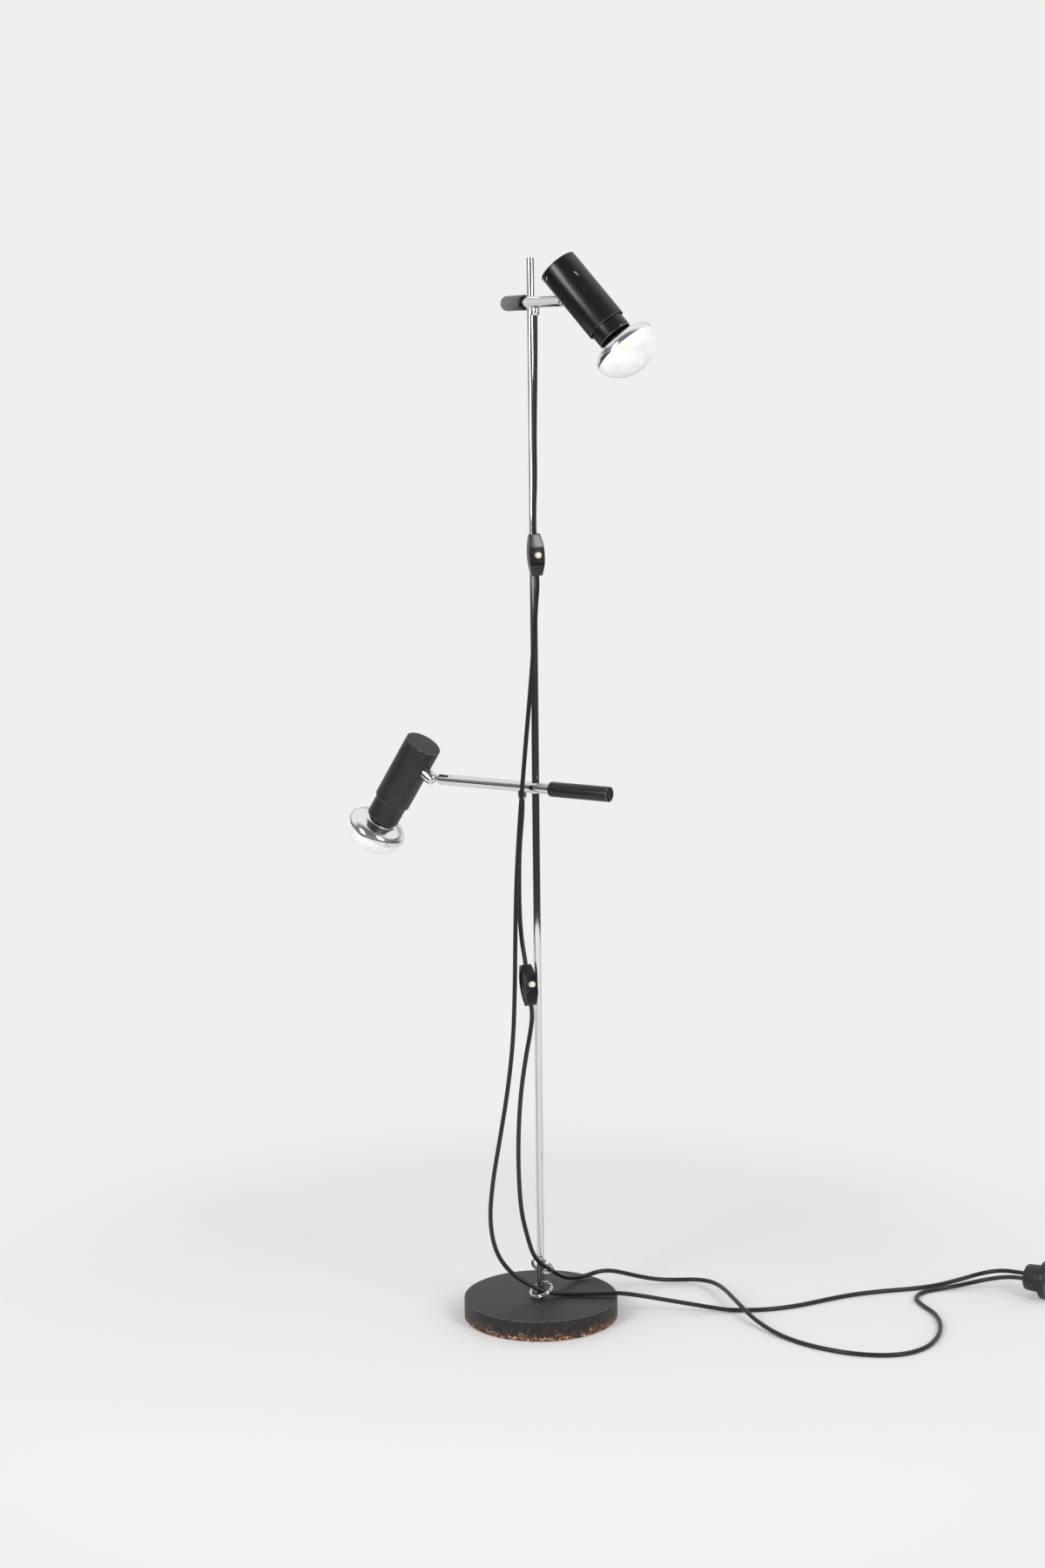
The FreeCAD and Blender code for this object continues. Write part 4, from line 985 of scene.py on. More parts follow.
@dataclass
class Spot:
    """Head tube, cap, ball socket, sliding sleeve and bulb of one lamp. Sizes in millimetres."""

    lamp: Lamp
    sleeve_out: float
    paint: SatinPaint
    head_radius: float = 24.25
    head_wall: float = 1.5
    head_length: float = 93.5
    foot: float = 31.5
    offset: float = 34.5
    cap_thickness: float = 2.0
    sleeve_radius: float = 21.6
    sleeve_wall: float = 1.3
    sleeve_length: float = 60.0
    bulb_radius: float = 40.0
    equator: float = 19.5
    front_depth: float = 31.0
    back_depth: float = 17.0
    front_rim: float = 24.0
    back_rim: float = 12.0
    neck_radius: float = 17.4
    neck_blend: float = 5.0
    glow: float = 0.0
    head_place: Matrix = field(init=False)
    mouth_place: Matrix = field(init=False)

    def __post_init__(self) -> None:
        """Finds the head's and the sleeve's places from the joints."""
        spin = joint(f"{self.lamp.value}_spin")
        ball, out = Vector(spin["pos_m"]), Vector(spin["axis"])
        down = Vector(joint(f"{self.lamp.value}_sleeve_out")["axis"])
        self.head_place = axes(ball, out, -down)
        reach = (self.head_length - self.foot + self.sleeve_out) * MM
        self.mouth_place = axes(ball + out * (self.offset * MM) + down * reach, out, down)

    @property
    def tube_place(self) -> Matrix:
        """Place on the tube's axis, level with the ball, local Z towards the cap."""
        return self.head_place @ Matrix.Translation((self.offset * MM, 0, 0))

    @property
    def socket_place(self) -> Matrix:
        """Place of the socket: local Z from the ball to the tube."""
        return self.head_place @ Z_ALONG_X

    def add(self, name: str, profile: Profile, place: Matrix, material: bpy.types.Material, part: str,
            slot: Slot, node: str, segments: int = 96) -> bpy.types.Object:
        """Turns one piece, places it and dresses it for its node."""
        piece = Bench.place(Bench.turned(f"{self.lamp.value}_{name}", profile, segments), place)
        return dress(piece, material, f"{self.lamp.value}_{part}", [f"{self.lamp.value}_{node}"])

    def build(self) -> None:
        """Builds all its pieces."""
        self.head()
        self.socket()
        self.sleeve()
        self.bulb()
        coat_node(f"{self.lamp.value}_ball_seat", NYLON.material())
        coat_node(f"{self.lamp.value}_socket_nut", BRASS.material())
        coat_node(f"{self.lamp.value}_lampholder_body", BLACK_MOULDING.material())
        coat_node(f"{self.lamp.value}_lampholder_shell", BRASS.material())

    def head(self) -> None:
        """Thin tube, open below, and its flat lid with the fine joint between them."""
        low, top = self.foot - self.head_length, self.foot - self.cap_thickness
        outer, inner = self.head_radius, self.head_radius - self.head_wall
        paint = self.paint.material(self.tube_place, [(low + 0.3, outer), (self.foot - 0.3, outer)])
        tube = rounded([(low, inner, 0), (low, outer, 0.35), (0.0, outer, 0), (top, outer, 0.25),
                        (top, inner, 0), (low, inner, 0)], 4)
        self.add("head_shell", tube, self.tube_place, paint, "head", Slot.PAINT, "head_tube")
        spigot = inner - 0.05
        lid = rounded([(top - 5.0, spigot - 2.0, 0), (top - 5.0, spigot, 0.3), (top, spigot, 0),
                       (top, outer, 0.2), (self.foot, outer, 0.55), (self.foot, 12.0, 0), (self.foot, 0, 0),
                       (top, 0, 0), (top, spigot - 2.0, 0), (top - 5.0, spigot - 2.0, 0)], 4)
        self.add("head_lid", lid, self.tube_place, paint, "head", Slot.PAINT, "head_cap")

    def socket(self) -> None:
        """Cup that grips the ball past its middle, with a rolled lip and a foot on the tube."""
        bore, lip, seat = 7.83, 3.0, 6.55
        start = math.acos(-lip / bore)
        inner = [(bore * math.cos(start + (math.pi / 2 - start) * k / 6),
                  bore * math.sin(start + (math.pi / 2 - start) * k / 6), 0) for k in range(7)]
        corners = inner + [(math.sqrt(bore ** 2 - seat ** 2), seat, 0), (9.0, seat, 0), (9.0, 2.3, 0),
                           (15.7, 2.3, 0), (15.7, 5.0, 0), (12.6, 5.0, 0), (12.6, 8.9, 0), (6.0, 8.9, 0.4),
                           (-lip + 0.5, 8.45, 0.4), (-lip, 7.9, 0.2), inner[0]]
        self.add("ball_cup", rounded(corners, 4), self.socket_place, BALL_CHROME.material(self.socket_place),
                 "head", Slot.CHROME, "ball_socket", 64)

    def sleeve(self) -> None:
        """Sliding sleeve with a guide bead at its hidden end and a softened mouth."""
        outer, inner, bead = self.sleeve_radius, self.sleeve_radius - self.sleeve_wall, 22.7
        end = -self.sleeve_length
        profile = rounded([(end, inner, 0), (0, inner, 0.2), (0, outer, 0.3), (-20.0, outer, 0),
                           (end + 5.1, outer, 0), (end + 4.0, bead, 0), (end, bead, 0), (end, inner, 0)], 4)
        paint = self.paint.material(self.mouth_place, [(-0.3, outer)])
        self.add("sleeve_tube", profile, self.mouth_place, paint, "sleeve", Slot.PAINT, "sleeve")

    def crown(self, depth: float, rim: float) -> float:
        """Radius of the arc on the bulb's axis that meets an arc of the rim's radius smoothly."""
        return (self.bulb_radius ** 2 + depth ** 2 - 2 * self.bulb_radius * rim) / (2 * (depth - rim))

    def bulb_outline(self) -> Profile:
        """Outline of the bulb from its tip to the end of its neck, as arcs that meet smoothly."""
        middle, radius, neck = self.equator, self.bulb_radius, self.neck_radius
        front, back = self.crown(self.front_depth, self.front_rim), self.crown(self.back_depth, self.back_rim)
        front_turn = math.atan2(front - self.front_depth, radius - self.front_rim)
        back_turn = math.atan2(back - self.back_depth, radius - self.back_rim)
        back_middle = middle + back - self.back_depth
        flare = neck + self.neck_blend
        flare_turn = math.acos(flare / (back + self.neck_blend))
        flare_middle = back_middle - (back + self.neck_blend) * math.sin(flare_turn)
        pieces = [arc((middle + self.front_depth - front, 0), front, math.pi / 2, front_turn, 12),
                  arc((middle, radius - self.front_rim), self.front_rim, front_turn, 0, 12),
                  arc((middle, radius - self.back_rim), self.back_rim, 0, -back_turn, 8),
                  arc((back_middle, 0), back, -back_turn, -flare_turn, 8),
                  arc((flare_middle, flare), self.neck_blend, math.pi - flare_turn, math.pi, 8)]
        return pieces[0] + [point for piece in pieces[1:] for point in piece[1:]]

    def bulb(self) -> None:
        """Reflector bulb: dome, silvered back, neck and screw cap."""
        shoulder: Profile = [(-24.5 * MM, 17.4 * MM), (-28.5 * MM, 15.4 * MM), (-31.5 * MM, 12.6 * MM)]
        wall = 0.9 * MM
        inside: Profile = [(-31.5 * MM, 11.7 * MM), (-24.5 * MM, 16.5 * MM), (0.4 * MM, 16.5 * MM),
                           (6.4 * MM, 24.0 * MM), (self.equator * MM, self.bulb_radius * MM - wall),
                           (36.0 * MM, 30.0 * MM), (45.0 * MM, 16.0 * MM), (49.6 * MM, 0.0)]
        place = self.mouth_place
        edge = (self.equator + 0.8) * MM
        glass = ReflectorGlass(f"{self.lamp.value}_reflector_glass", edge, glow=self.glow)
        self.add("bulb", self.bulb_outline() + shoulder + inside, place, glass.material(place), "sleeve",
                 Slot.BULB, "bulb_glass")
        self.screw_cap()

    def screw_cap(self) -> None:
        """Screw cap with its rolled thread, tapered insulator and centre contact."""
        top, end, radius = -31.5, -57.5, 13.1
        corners = [(top, 0, 0), (top, radius - 0.3, 0)]
        pitch, depth, turns = 3.6, 0.5, 5
        for k in range(turns * 6 + 1):
            along = top - 1.0 - pitch * k / 6
            corners.append((along, radius - depth + depth * math.cos(k * math.pi / 3), 0))
        corners += [(end + 5.0, radius - 0.5, 0.6), (end + 2.5, 7.5, 0.3), (end + 2.5, 5.0, 0),
                    (end, 5.0, 0.4), (end, 0, 0)]
        self.add("bulb_cap_piece", rounded(corners, 3), self.mouth_place, NICKEL.material(self.mouth_place),
                 "sleeve", Slot.NICKEL, "bulb_cap", 64)


# ---- inline switch ------------------------------------------------------------------------------


@dataclass
class InlineSwitch:
    """Two-shell push switch on a lamp's lead. Sizes in millimetres."""

    lamp: Lamp
    middle: Point
    up: Point
    length: float = 53.0
    width: float = 20.5
    end_width: float = 13.0
    front_depth: float = 6.5
    back_depth: float = 8.0
    facet_start: float = 12.5
    facet_drop: float = 3.4
    front_edge: float = 0.8
    back_edge: float = 4.0
    bezel_radius: float = 6.9
    bezel_height: float = 1.2
    button_radius: float = 3.9
    button_proud: float = 6.5
    place: Matrix = field(init=False)

    def __post_init__(self) -> None:
        """Finds the switch's place: local Z to its upper end, local Y out of its front."""
        front = Vector(joint(f"{self.lamp.value}_push")["axis"]).normalized()
        up = Vector(self.up).normalized()
        up = (up - front * up.dot(front)).normalized()
        self.place = axes(Vector(self.middle) * MM, front.cross(up), up)

    def build(self) -> None:
        """Builds all its pieces."""
        body = f"{self.lamp.value}_carriage"
        shell = BLACK_MOULDING.material(self.place)
        names = {"front": self.shell(True), "back": self.shell(False)}
        for side, piece in names.items():
            dress(Bench.place(piece, self.place), shell, body,
                  [f"{self.lamp.value}_switch_{side}"])
        facing = self.place @ Matrix(((1, 0, 0), (0, 0, 1), (0, -1, 0))).to_4x4()
        face, wide, bore = self.front_depth, self.bezel_radius, self.button_radius + 0.1
        low, top = face - 0.8, face + self.bezel_height
        bezel = rounded([(low, bore, 0), (low, wide, 0), (face, wide, 0), (top, wide - 0.7, 0.5),
                         (top, bore + 0.5, 0.3), (top - 0.5, bore, 0), (low, bore, 0)], 4)
        piece = Bench.place(Bench.turned(f"{self.lamp.value}_bezel", bezel, 48), facing)
        dress(piece, shell, body, [f"{self.lamp.value}_switch_bezel"])
        foot, collar, tip = 1.6, 4.9, face + self.button_proud
        button = rounded([(foot, 0, 0), (foot, collar, 0.2), (foot + 1.2, collar, 0), (foot + 1.2, 3.9, 0),
                          (tip - 3.0, self.button_radius, 0), (tip, self.button_radius, 1.9), (tip, 0, 0)], 6)
        piece = Bench.place(Bench.turned(f"{self.lamp.value}_button_cap", button, 48), facing)
        dress(piece, CREAM_MOULDING.material(facing), f"{self.lamp.value}_button",
              [f"{self.lamp.value}_switch_button"])

    def shell(self, front: bool) -> bpy.types.Object:
        """Models one shell from a block: barrel sides, end facets or a crowned back, soft edges.

        Args:
            front: the shell with the button, or the back one.

        Returns:
            The shell in the switch's own place.
        """
        Bench.clear()
        depth, sign = (self.front_depth, 1.0) if front else (self.back_depth, -1.0)
        half = self.length / 2
        bpy.ops.mesh.primitive_cube_add(size=1.0, location=(0, sign * depth / 2 * MM, 0),
                                        scale=(self.width * MM, depth * MM, self.length * MM))
        piece = bpy.context.object
        piece.name = f"{self.lamp.value}_switch_{'front' if front else 'back'}_shell"
        bpy.ops.object.transform_apply(location=True, rotation=True, scale=True)
        bpy.ops.object.mode_set(mode="EDIT")
        levels = sorted({round(half * k / 6, 3) for k in range(-5, 6)}
                        | {self.facet_start, -self.facet_start})
        for level in levels:
            bpy.ops.mesh.select_all(action="SELECT")
            bpy.ops.mesh.bisect(plane_co=(0, 0, level * MM), plane_no=(0, 0, 1))
        for level in (-half, *levels, half):
            narrow = 1 - (1 - self.end_width / self.width) * (level / half) ** 2
            Bench.pick(piece, "VERT", lambda point, _: abs(point.z - level * MM) < TOUCH)
            bpy.ops.transform.resize(value=(narrow, 1, 1), center_override=(0, 0, 0))
            past = max(0.0, abs(level) - self.facet_start) / (half - self.facet_start)
            if front and past:
                Bench.pick(piece, "VERT", lambda point, _: abs(point.z - level * MM) < TOUCH
                           and point.y > depth / 2 * MM)
                bpy.ops.transform.translate(value=(0, -self.facet_drop * past * MM, 0))
        Bench.pick(piece, "EDGE", lambda a, b: min(sign * a.y, sign * b.y) > depth * 0.3 * MM
                   and (a.x * b.x > 0 or abs(a.z) > half * MM - TOUCH))
        edge = self.front_edge if front else self.back_edge
        bpy.ops.mesh.bevel(offset=edge * MM, segments=5, affect="EDGES")
        bpy.ops.object.mode_set(mode="OBJECT")
        Bench.smooth(piece, 30)
        return piece


# ---- leads --------------------------------------------------------------------------------------


@dataclass
class Lead:
    """One free stretch of a lamp's lead, as control points in millimetres."""

    name: str
    points: Sequence[Point]
    body: str
    moving: str
    start: Point
    end: Point
    far_end: str
    pieces: Sequence[str]
    length: float
    lay: str
    radius: float = 2.9

    def build(self, sheath: bpy.types.Material) -> bpy.types.Object:
        """Args:
            sheath: its finish.

        Returns:
            The curve.
        """
        data = bpy.data.curves.new(self.name, "CURVE")
        data.dimensions = "3D"
        data.resolution_u = 12
        spline = data.splines.new("NURBS")
        spline.points.add(len(self.points) - 1)
        for knot, (x, y, z) in zip(spline.points, self.points):
            knot.co = (x * MM, y * MM, z * MM, 1.0)
        spline.order_u = 3
        spline.use_endpoint_u = True
        curve = bpy.data.objects.new(f"{self.name}_line", data)
        bpy.context.scene.collection.objects.link(curve)
        line = self.mesh_of(curve)
        data.bevel_depth = self.radius * MM
        data.bevel_resolution = 5
        data.use_fill_caps = True
        lead = bpy.data.objects.new(f"{self.name}_lead", self.mesh_of(curve))
        bpy.context.scene.collection.objects.link(lead)
        bpy.data.objects.remove(curve)
        Bench.recalculate(lead)
        Bench.smooth(lead, 50)
        lead.data.materials.clear()
        lead.data.materials.append(sheath)
        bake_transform(lead)
        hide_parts(self.name)
        exit_point = tuple(value * MM for value in self.points[0])
        2 * self.radius * MM
        LOG.info("%s is %.2f m long", self.name, self.length)
        return lead

    @staticmethod
    def mesh_of(curve: bpy.types.Object) -> bpy.types.Mesh:
        """Reads the mesh that a curve makes."""
        bpy.context.view_layer.update()
        return bpy.data.meshes.new_from_object(curve.evaluated_get(bpy.context.evaluated_depsgraph_get()))


def switch_end(switch: InlineSwitch, side: float, reach: float) -> Point:
    """Point on a switch's axis, in millimetres.

    Args:
        switch: the switch.
        side: 1 at its upper end, -1 at its lower end.
        reach: distance out of that end.

    Returns:
        The point.
    """
    spot = switch.place @ Vector((0, 0, side * (switch.length / 2 + reach) * MM))
    return tuple(spot / MM)


def outlet_point(arm: Arm, reach: float) -> Point:
    """Point below the outlet of an arm, in millimetres."""
    spot = arm.place @ Vector((arm.outlet_reach * MM, 0, -(arm.tube_radius + 9.0 + reach) * MM))
    return tuple(spot / MM)


@dataclass
class Plug:
    """Two-lead plug with a split cover, a flanged front and two round pins. Sizes in millimetres."""

    face: Point = (651.0, 58.5, 26.0)
    azimuth: float = -33.0
    inlet: float = 10.0
    cover_length: float = 23.0
    cover_radius: float = 18.5
    cover_end: float = 17.0
    flange_radius: float = 25.6
    flange_length: float = 10.0
    pin_radius: float = 2.4
    pin_root: float = 1.9
    pin_length: float = 19.0
    pin_spacing: float = 19.0
    place: Matrix = field(init=False)

    def __post_init__(self) -> None:
        """Finds the plug's place: local Z from the leads to the pins, local Y up."""
        forward = self.forward
        self.place = axes(Vector(self.face) * MM, Vector((0, 0, 1)).cross(forward) * -1, forward)

    @property
    def forward(self) -> Vector:
        """Level direction from the leads to the pins."""
        turn = math.radians(self.azimuth)
        return Vector((math.cos(turn), math.sin(turn), 0))

    def inlet_point(self, side: float, reach: float) -> Point:
        """Point where a lead goes in, in millimetres; side is 1 for the far one."""
        left = Vector((-self.forward.y, self.forward.x, 0))
        return tuple(Vector(self.face) + left * (side * self.inlet) - self.forward * reach)

    def build(self) -> None:
        """Builds all its pieces."""
        finish = PLUG_MOULDING.material(self.place)
        for upper in (True, False):
            name = "upper" if upper else "lower"
            dress(self.cover(upper), finish, "stand", [f"plug_cover_{name}"])
        low, top, radius = self.cover_length, self.cover_length + self.flange_length, self.flange_radius
        flange = rounded([(low, 0, 0), (low, 19.5, 0), (low + 1.0, 19.5, 0.4), (low + 1.0, radius, 1.6),
                          (top, radius, 1.4), (top, 20.0, 0.3), (top - 0.8, 19.4, 0.3), (top - 0.8, 0, 0)], 5)
        piece = Bench.place(Bench.turned("plug_flange", flange, 96), self.place)
        dress(piece, finish, "stand", ["plug_front"])
        pins = []
        for side in (-1, 1):
            tip = top + self.pin_length
            profile = rounded([(top - 6.0, 0, 0), (top - 6.0, self.pin_root, 0), (top, self.pin_root, 0),
                               (top, self.pin_radius, 0), (tip - 8.0, self.pin_radius, 0),
                               (tip, self.pin_radius, 1.2), (tip, 0, 0)], 5)
            shift = Matrix.Translation((side * self.pin_spacing / 2 * MM, 0, 0))
            pins.append(Bench.place(Bench.turned(f"pin_{side}", profile, 32), self.place @ shift))
        dress(Bench.join("plug_pin_pair", pins), NICKEL.material(self.place), "stand",
              ["plug_pins"])

    def cover(self, upper: bool) -> bpy.types.Object:
        """Turns the cover, cuts it along its seam and softens the cut.

        Args:
            upper: the half above the seam, or the one below.

        Returns:
            The half cover in its place.
        """
        end, radius, length = self.cover_end, self.cover_radius, self.cover_length
        profile = rounded([(0, 0, 0), (0, 9.0, 0), (0, end, 3.4), (length - 3.0, radius, 0.6),
                           (length, radius, 0), (length, 0, 0)], 5)
        half = Bench.turned(f"plug_cover_{'upper' if upper else 'lower'}_half", profile, 64)
        bpy.ops.object.mode_set(mode="EDIT")
        bpy.ops.mesh.select_all(action="SELECT")
        sign = 1.0 if upper else -1.0
        bpy.ops.mesh.bisect(plane_co=(0, sign * 0.15 * MM, 0), plane_no=(0, sign, 0), use_fill=True,
                            clear_inner=True)
        bpy.ops.object.mode_set(mode="OBJECT")
        Bench.apply(half, "BEVEL", limit_method="ANGLE", angle_limit=math.radians(60), width=0.5 * MM,
                    segments=2)
        Bench.smooth(half, 35)
        return Bench.place(half, self.place)


DROPS: dict[Lamp, list[Point]] = {
    Lamp.UPPER: [
        (5.2, -18.6, 1262), (4.3, -17.2, 1212), (2.9, -16.0, 1152), (3.3, -15.6, 1100),
        (1.4, -16.2, 1062),
    ],
    Lamp.LOWER: [
        (-18.4, 9.4, 661), (-21.9, 8.4, 622), (-22.9, 5.6, 578), (-22.4, 1.4, 536),
        (-19.9, -3.6, 505),
    ],
}
RUNS: dict[Lamp, list[Point]] = {
    Lamp.UPPER: [
        (2.9, -15.4, 944), (0.4, -14.0, 905), (-4.4, -11.6, 845), (-10.2, -9.8, 785),
        (-16.0, -9.4, 722), (-21.2, -10.6, 660), (-25.8, -12.6, 592), (-28.0, -14.2, 522),
        (-29.4, -15.0, 452), (-32.0, -15.6, 382), (-39.4, -16.0, 316), (-50.4, -16.2, 250),
        (-61.2, -16.0, 190), (-66.4, -15.4, 136), (-59.4, -14.0, 92), (-41.0, -12.6, 64),
        (-20.0, -10.8, 48), (-1.0, -9.8, 37.6), (15.0, -6.0, 31.6), (34.0, -4.6, 30.1),
        (62.0, -5.6, 30.4), (88.0, -6.6, 31.4), (106.0, -6.6, 31.2), (132.0, -5.0, 26.8),
        (160.0, -2.2, 20.6), (190.0, 0.4, 14.2), (222.0, 1.0, 8.0), (248.0, 0.8, 3.8),
        (272.0, 1.8, 3.0), (306.0, 5.0, 3.0), (347.0, 20.0, 3.0), (386.0, 43.0, 3.0),
        (424.0, 61.0, 3.0), (464.0, 72.0, 3.0), (504.0, 79.5, 3.0), (540.0, 93.0, 3.2),
        (572.0, 106.0, 6.6), (599.0, 109.0, 13.5), (624.0, 99.0, 21.0),
    ],
    Lamp.LOWER: [
        (-9.9, -29.8, 392), (-16.8, -30.2, 356), (-23.8, -25.0, 306), (-27.2, -19.0, 252),
        (-27.6, -15.0, 198), (-25.0, -16.2, 150), (-18.6, -22.0, 121), (-7.9, -29.0, 85.6),
        (18.9, 15.2, 52.9), (31.0, 38.0, 38.4), (45.0, 55.0, 30.6), (61.0, 64.0, 31.2),
        (77.0, 68.6, 35.0), (92.0, 74.0, 34.6), (108.0, 82.4, 29.0), (132.0, 95.0, 18.5),
        (160.0, 106.0, 9.6), (188.0, 111.0, 7.4), (214.0, 107.0, 9.2), (234.0, 86.0, 12.4),
        (246.0, 52.0, 14.4), (255.0, 16.0, 14.8), (265.0, -20.0, 14.0), (281.0, -54.0, 7.4),
        (309.0, -97.0, 3.0), (348.0, -136.0, 3.0), (398.0, -163.0, 3.0), (449.0, -168.0, 3.0),
        (487.0, -146.0, 3.0), (510.0, -104.0, 3.0), (520.0, -58.0, 3.4), (518.0, -18.0, 3.4),
        (506.0, 12.0, 3.0), (499.0, 40.0, 3.0), (510.0, 64.0, 3.0), (536.0, 77.0, 3.2),
        (566.0, 82.0, 6.0), (594.0, 80.0, 13.4), (617.0, 69.0, 21.4),
    ],
}
LEAD_IN = 12.0


def build_leads(arms: dict[Lamp, Arm], switches: dict[Lamp, InlineSwitch], plug: Plug) -> None:
    """Draws the four free stretches of the two leads.

    Args:
        arms: the arms, for the outlets.
        switches: the switches between the stretches.
        plug: the common plug.
    """
    sheath = LEAD_SHEATH.material()
    lengths = {Lamp.UPPER: (0.271, 1.669), Lamp.LOWER: (0.215, 1.439)}
    plug_pieces = [bpy.data.objects[name] for name in ("plug_cover_upper_half", "plug_cover_lower_half",
                                                       "plug_flange", "plug_pin_pair")]
    for lamp in Lamp:
        name, switch, arm = lamp.value, switches[lamp], arms[lamp]
        shells = [bpy.data.objects[f"{name}_{piece}"] for piece in
                  ("switch_front_shell", "switch_back_shell", "bezel", "button_cap")]
        nipple = bpy.data.objects[f"{name}_lead_outlet"]
        drop = [outlet_point(arm, 0), outlet_point(arm, LEAD_IN), *DROPS[lamp],
                switch_end(switch, 1, LEAD_IN), switch_end(switch, 1, 0)]
        ends = Vector(drop[-2]) * MM, Vector(drop[1]) * MM
        Lead(f"{name}_cord_drop", drop, f"{name}_carriage", f"{name}_arm", tuple(ends[0]), tuple(ends[1]),
             "fitting", [*shells, nipple], lengths[lamp][0], "hanging").build(sheath)
        side = 1 if lamp is Lamp.UPPER else -1
        run = [switch_end(switch, -1, 0), switch_end(switch, -1, LEAD_IN), *RUNS[lamp],
               plug.inlet_point(side, LEAD_IN), plug.inlet_point(side, 0)]
        low = Vector((-60.0, -15.0, 150.0) if lamp is Lamp.UPPER else (-22.0, -14.0, 165.0)) * MM
        Lead(f"{name}_cord_run", run, "stand", f"{name}_carriage", tuple(low), tuple(Vector(run[1]) * MM),
             "plug", plug_pieces, lengths[lamp][1], "loose").build(sheath)


# ---- studio -------------------------------------------------------------------------------------


def grey(level: float) -> tuple[float, float, float, float]:
    """An opaque grey."""
    return (level, level, level, 1.0)


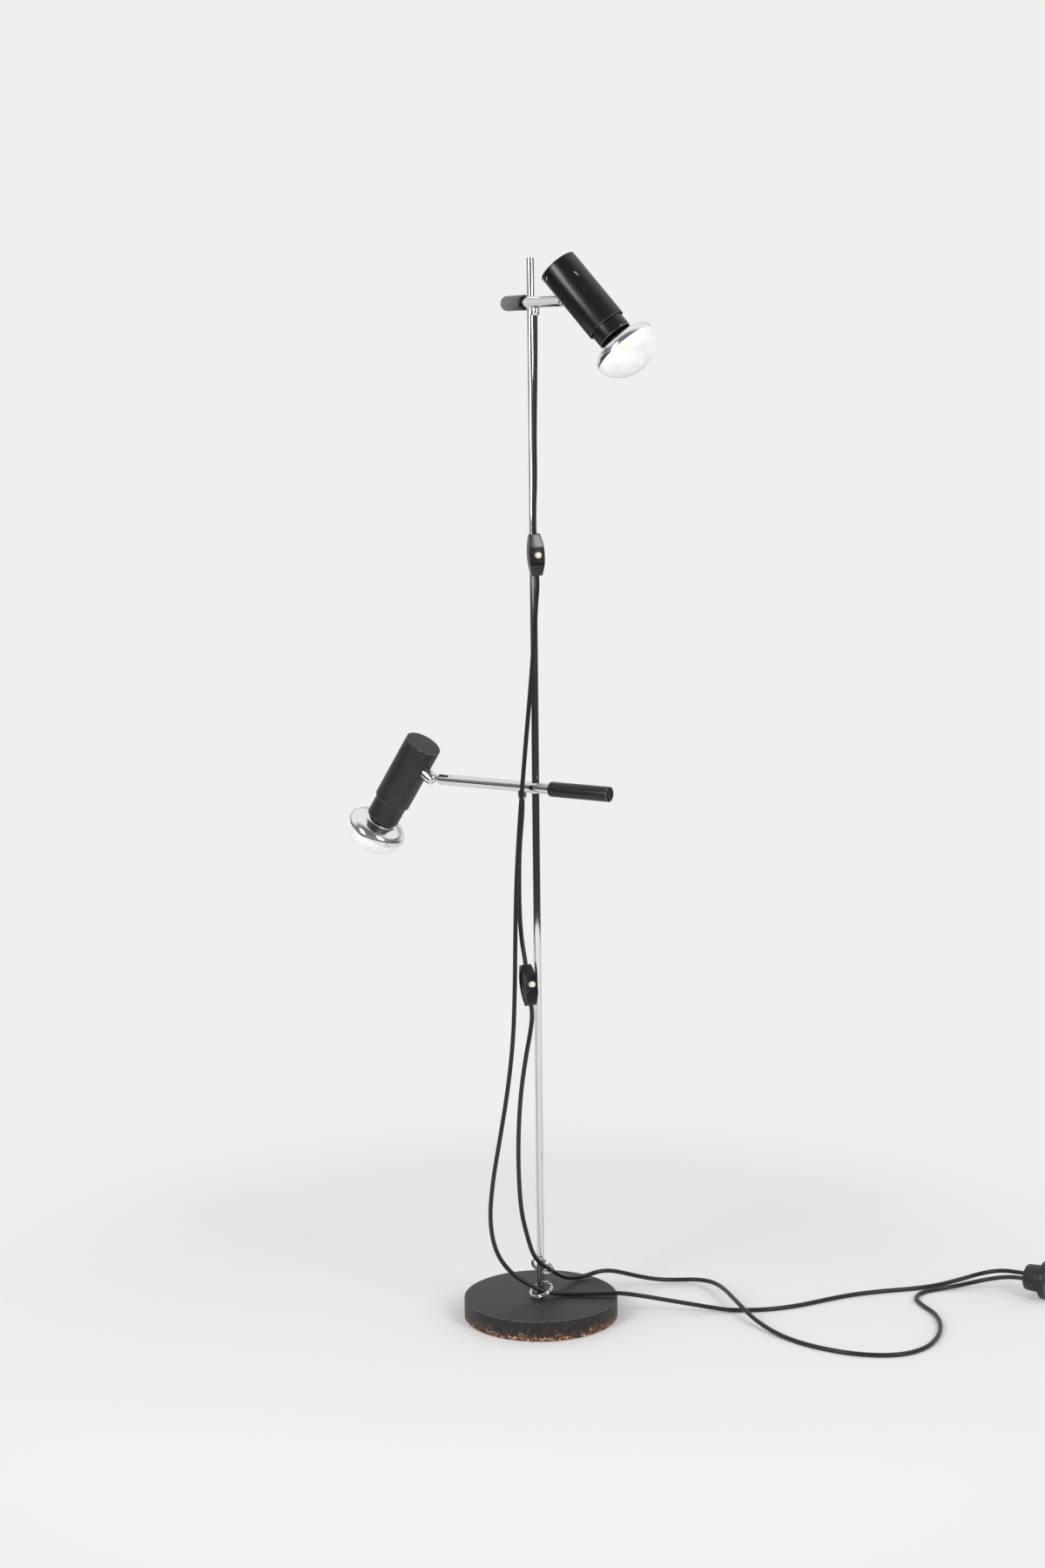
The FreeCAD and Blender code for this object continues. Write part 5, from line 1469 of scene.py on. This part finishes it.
@dataclass(frozen=True)
class Studio:
    """Pale floor, plain backdrop, soft lamps and the camera."""

    pale: float = 0.863
    floor_radius: float = 2.0
    ambient: float = 0.66
    focal_px: float = 3186.2
    frame_px: float = 1200.0
    distance: float = 3.5073
    height: float = 1.2800
    tilt: float = 0.160931
    roll: float = -0.011140
    pan: float = -0.004796
    sensor_mm: float = 36.0
    fade: tuple[float, float] = (0.45, 1.05)      # radii between which the seen floor turns plain
    aim: Point = (0.0, 0.0, 0.85)
    lights: tuple[tuple[str, Point, float, float, float], ...] = (     # name, place, width, height, watts
        ("key", (-2.15, -2.40, 1.95), 0.8, 1.7, 46.0),
        ("fill", (2.10, -2.30, 1.95), 0.7, 1.6, 34.0))

    def build(self) -> None:
        """Sets up floor, world, lamps and camera."""
        self.floor()
        self.world()
        self.lamps()
        self.camera()

    def floor(self) -> None:
        """A pale floor that keeps soft shadows and fades into the plain backdrop."""
        Bench.clear()
        bpy.ops.mesh.primitive_circle_add(vertices=160, radius=self.floor_radius, fill_type="NGON",
                                          location=(0, 0, 0))
        floor = bpy.context.object
        floor.name = "studio_floor"
        tree = Tree("studio_floor")
        x, y, _ = tree.split()
        tree.feed(Base_Color=(0.88, 0.88, 0.88), Roughness=0.9, Specular_IOR_Level=0.0)
        seen = Signal(tree, tree.node("ShaderNodeLightPath").outputs["Is Camera Ray"])
        far = ((x * x + y * y) ** 0.5).step(*self.fade) * seen
        plain = tree.node("ShaderNodeEmission", inputs={"Color": grey(self.pale), "Strength": 1.0})
        tree.shade(tree.node("ShaderNodeMixShader", inputs={0: far, 1: tree.shader.outputs[0],
                                                            2: plain.outputs[0]}).outputs[0])
        floor.data.materials.append(tree.material)

    def world(self) -> None:
        """Even pale surroundings, in which gloss and metal see a darker room with a pale horizon and back."""
        world = bpy.data.worlds.new("studio")
        bpy.context.scene.world = world
        world.use_nodes = True
        sky = Graph(world.node_tree, "ShaderNodeOutputWorld", "Generated")
        _, y, z = sky.split()
        wall = 0.28 + y.step(0.1, 0.6) * 0.60 + y.step(-0.5, -0.9) * 0.20
        horizon = z.step(-0.040, -0.012) * z.step(0.17, 0.08)
        above = z.step(0.08, 0.17) * 0.11 + z.step(0.30, 0.50) * y.step(-0.45, 0.10) * 0.75
        back = y.step(0.35, 0.65) * z.step(-0.35, -0.25) * z.step(0.40, 0.28) * 0.70
        room = (horizon * (wall - 0.05) + above + 0.05).larger(back)
        paths = sky.node("ShaderNodeLightPath").outputs
        backdrop = sky.node("ShaderNodeBackground", inputs={"Color": grey(self.pale)})
        glossy = sky.node("ShaderNodeBackground", inputs={"Color": grey(1.0), "Strength": room})
        even = sky.node("ShaderNodeBackground", inputs={"Color": grey(self.ambient)})
        mixed = sky.node("ShaderNodeMixShader", inputs={0: paths["Is Glossy Ray"], 1: even.outputs[0],
                                                        2: glossy.outputs[0]})
        sky.shade(sky.node("ShaderNodeMixShader", inputs={0: paths["Is Camera Ray"], 1: mixed.outputs[0],
                                                          2: backdrop.outputs[0]}).outputs[0])

    def lamps(self) -> None:
        """Two tall soft lamps in front, left and right."""
        for name, place, width, height, power in self.lights:
            data = bpy.data.lights.new(name, "AREA")
            data.shape = "RECTANGLE"
            data.size, data.size_y = width, height
            data.energy = power
            lamp = bpy.data.objects.new(name, data)
            bpy.context.scene.collection.objects.link(lamp)
            lamp.location = place
            lamp.rotation_euler = (Vector(self.aim) - Vector(place)).to_track_quat("-Z", "Y").to_euler()
            lamp.visible_camera = False

    def camera(self) -> None:
        """The camera of the photograph's viewpoint."""
        data = bpy.data.cameras.new("camera")
        data.sensor_fit = "HORIZONTAL"
        data.sensor_width = self.sensor_mm
        data.lens = self.focal_px / self.frame_px * self.sensor_mm
        data.clip_end = 60.0
        camera = bpy.data.objects.new("camera", data)
        bpy.context.scene.collection.objects.link(camera)
        forward = Vector((math.sin(self.pan) * math.cos(self.tilt), math.cos(self.pan) * math.cos(self.tilt),
                          -math.sin(self.tilt)))
        level = Vector((math.cos(self.pan), -math.sin(self.pan), 0))
        upright = level.cross(forward)
        right = level * math.cos(self.roll) + upright * math.sin(self.roll)
        up = upright * math.cos(self.roll) - level * math.sin(self.roll)
        camera.matrix_world = Matrix.Translation((0, -self.distance, self.height)) @ Matrix(
            (right, up, -forward)).transposed().to_4x4()
        bpy.context.scene.camera = camera


def main() -> None:
    """Builds the lamp's pieces in order, then the studio."""
    logging.basicConfig(level=logging.INFO, format="%(name)s: %(message)s")
    Stand().build()
    arms = {lamp: Arm(lamp) for lamp in Lamp}
    spots = [Spot(Lamp.UPPER, sleeve_out=16.5, paint=PAINT, glow=0.8),
             Spot(Lamp.LOWER, sleeve_out=30.0, paint=CHARCOAL)]
    switches = {Lamp.UPPER: InlineSwitch(Lamp.UPPER, (3.0, -16.0, 1005.0), (-0.055, 0.0, 1.0)),
                Lamp.LOWER: InlineSwitch(Lamp.LOWER, (-12.0, -17.5, 451.0), (-0.133, 0.25, 1.0))}
    plug = Plug()
    for part in (*arms.values(), *spots, *switches.values(), plug):
        part.build()
    build_leads(arms, switches, plug)
    Studio().build()
    bpy.context.scene.view_settings.view_transform = "Standard"


if __name__ == "__main__":
    main()
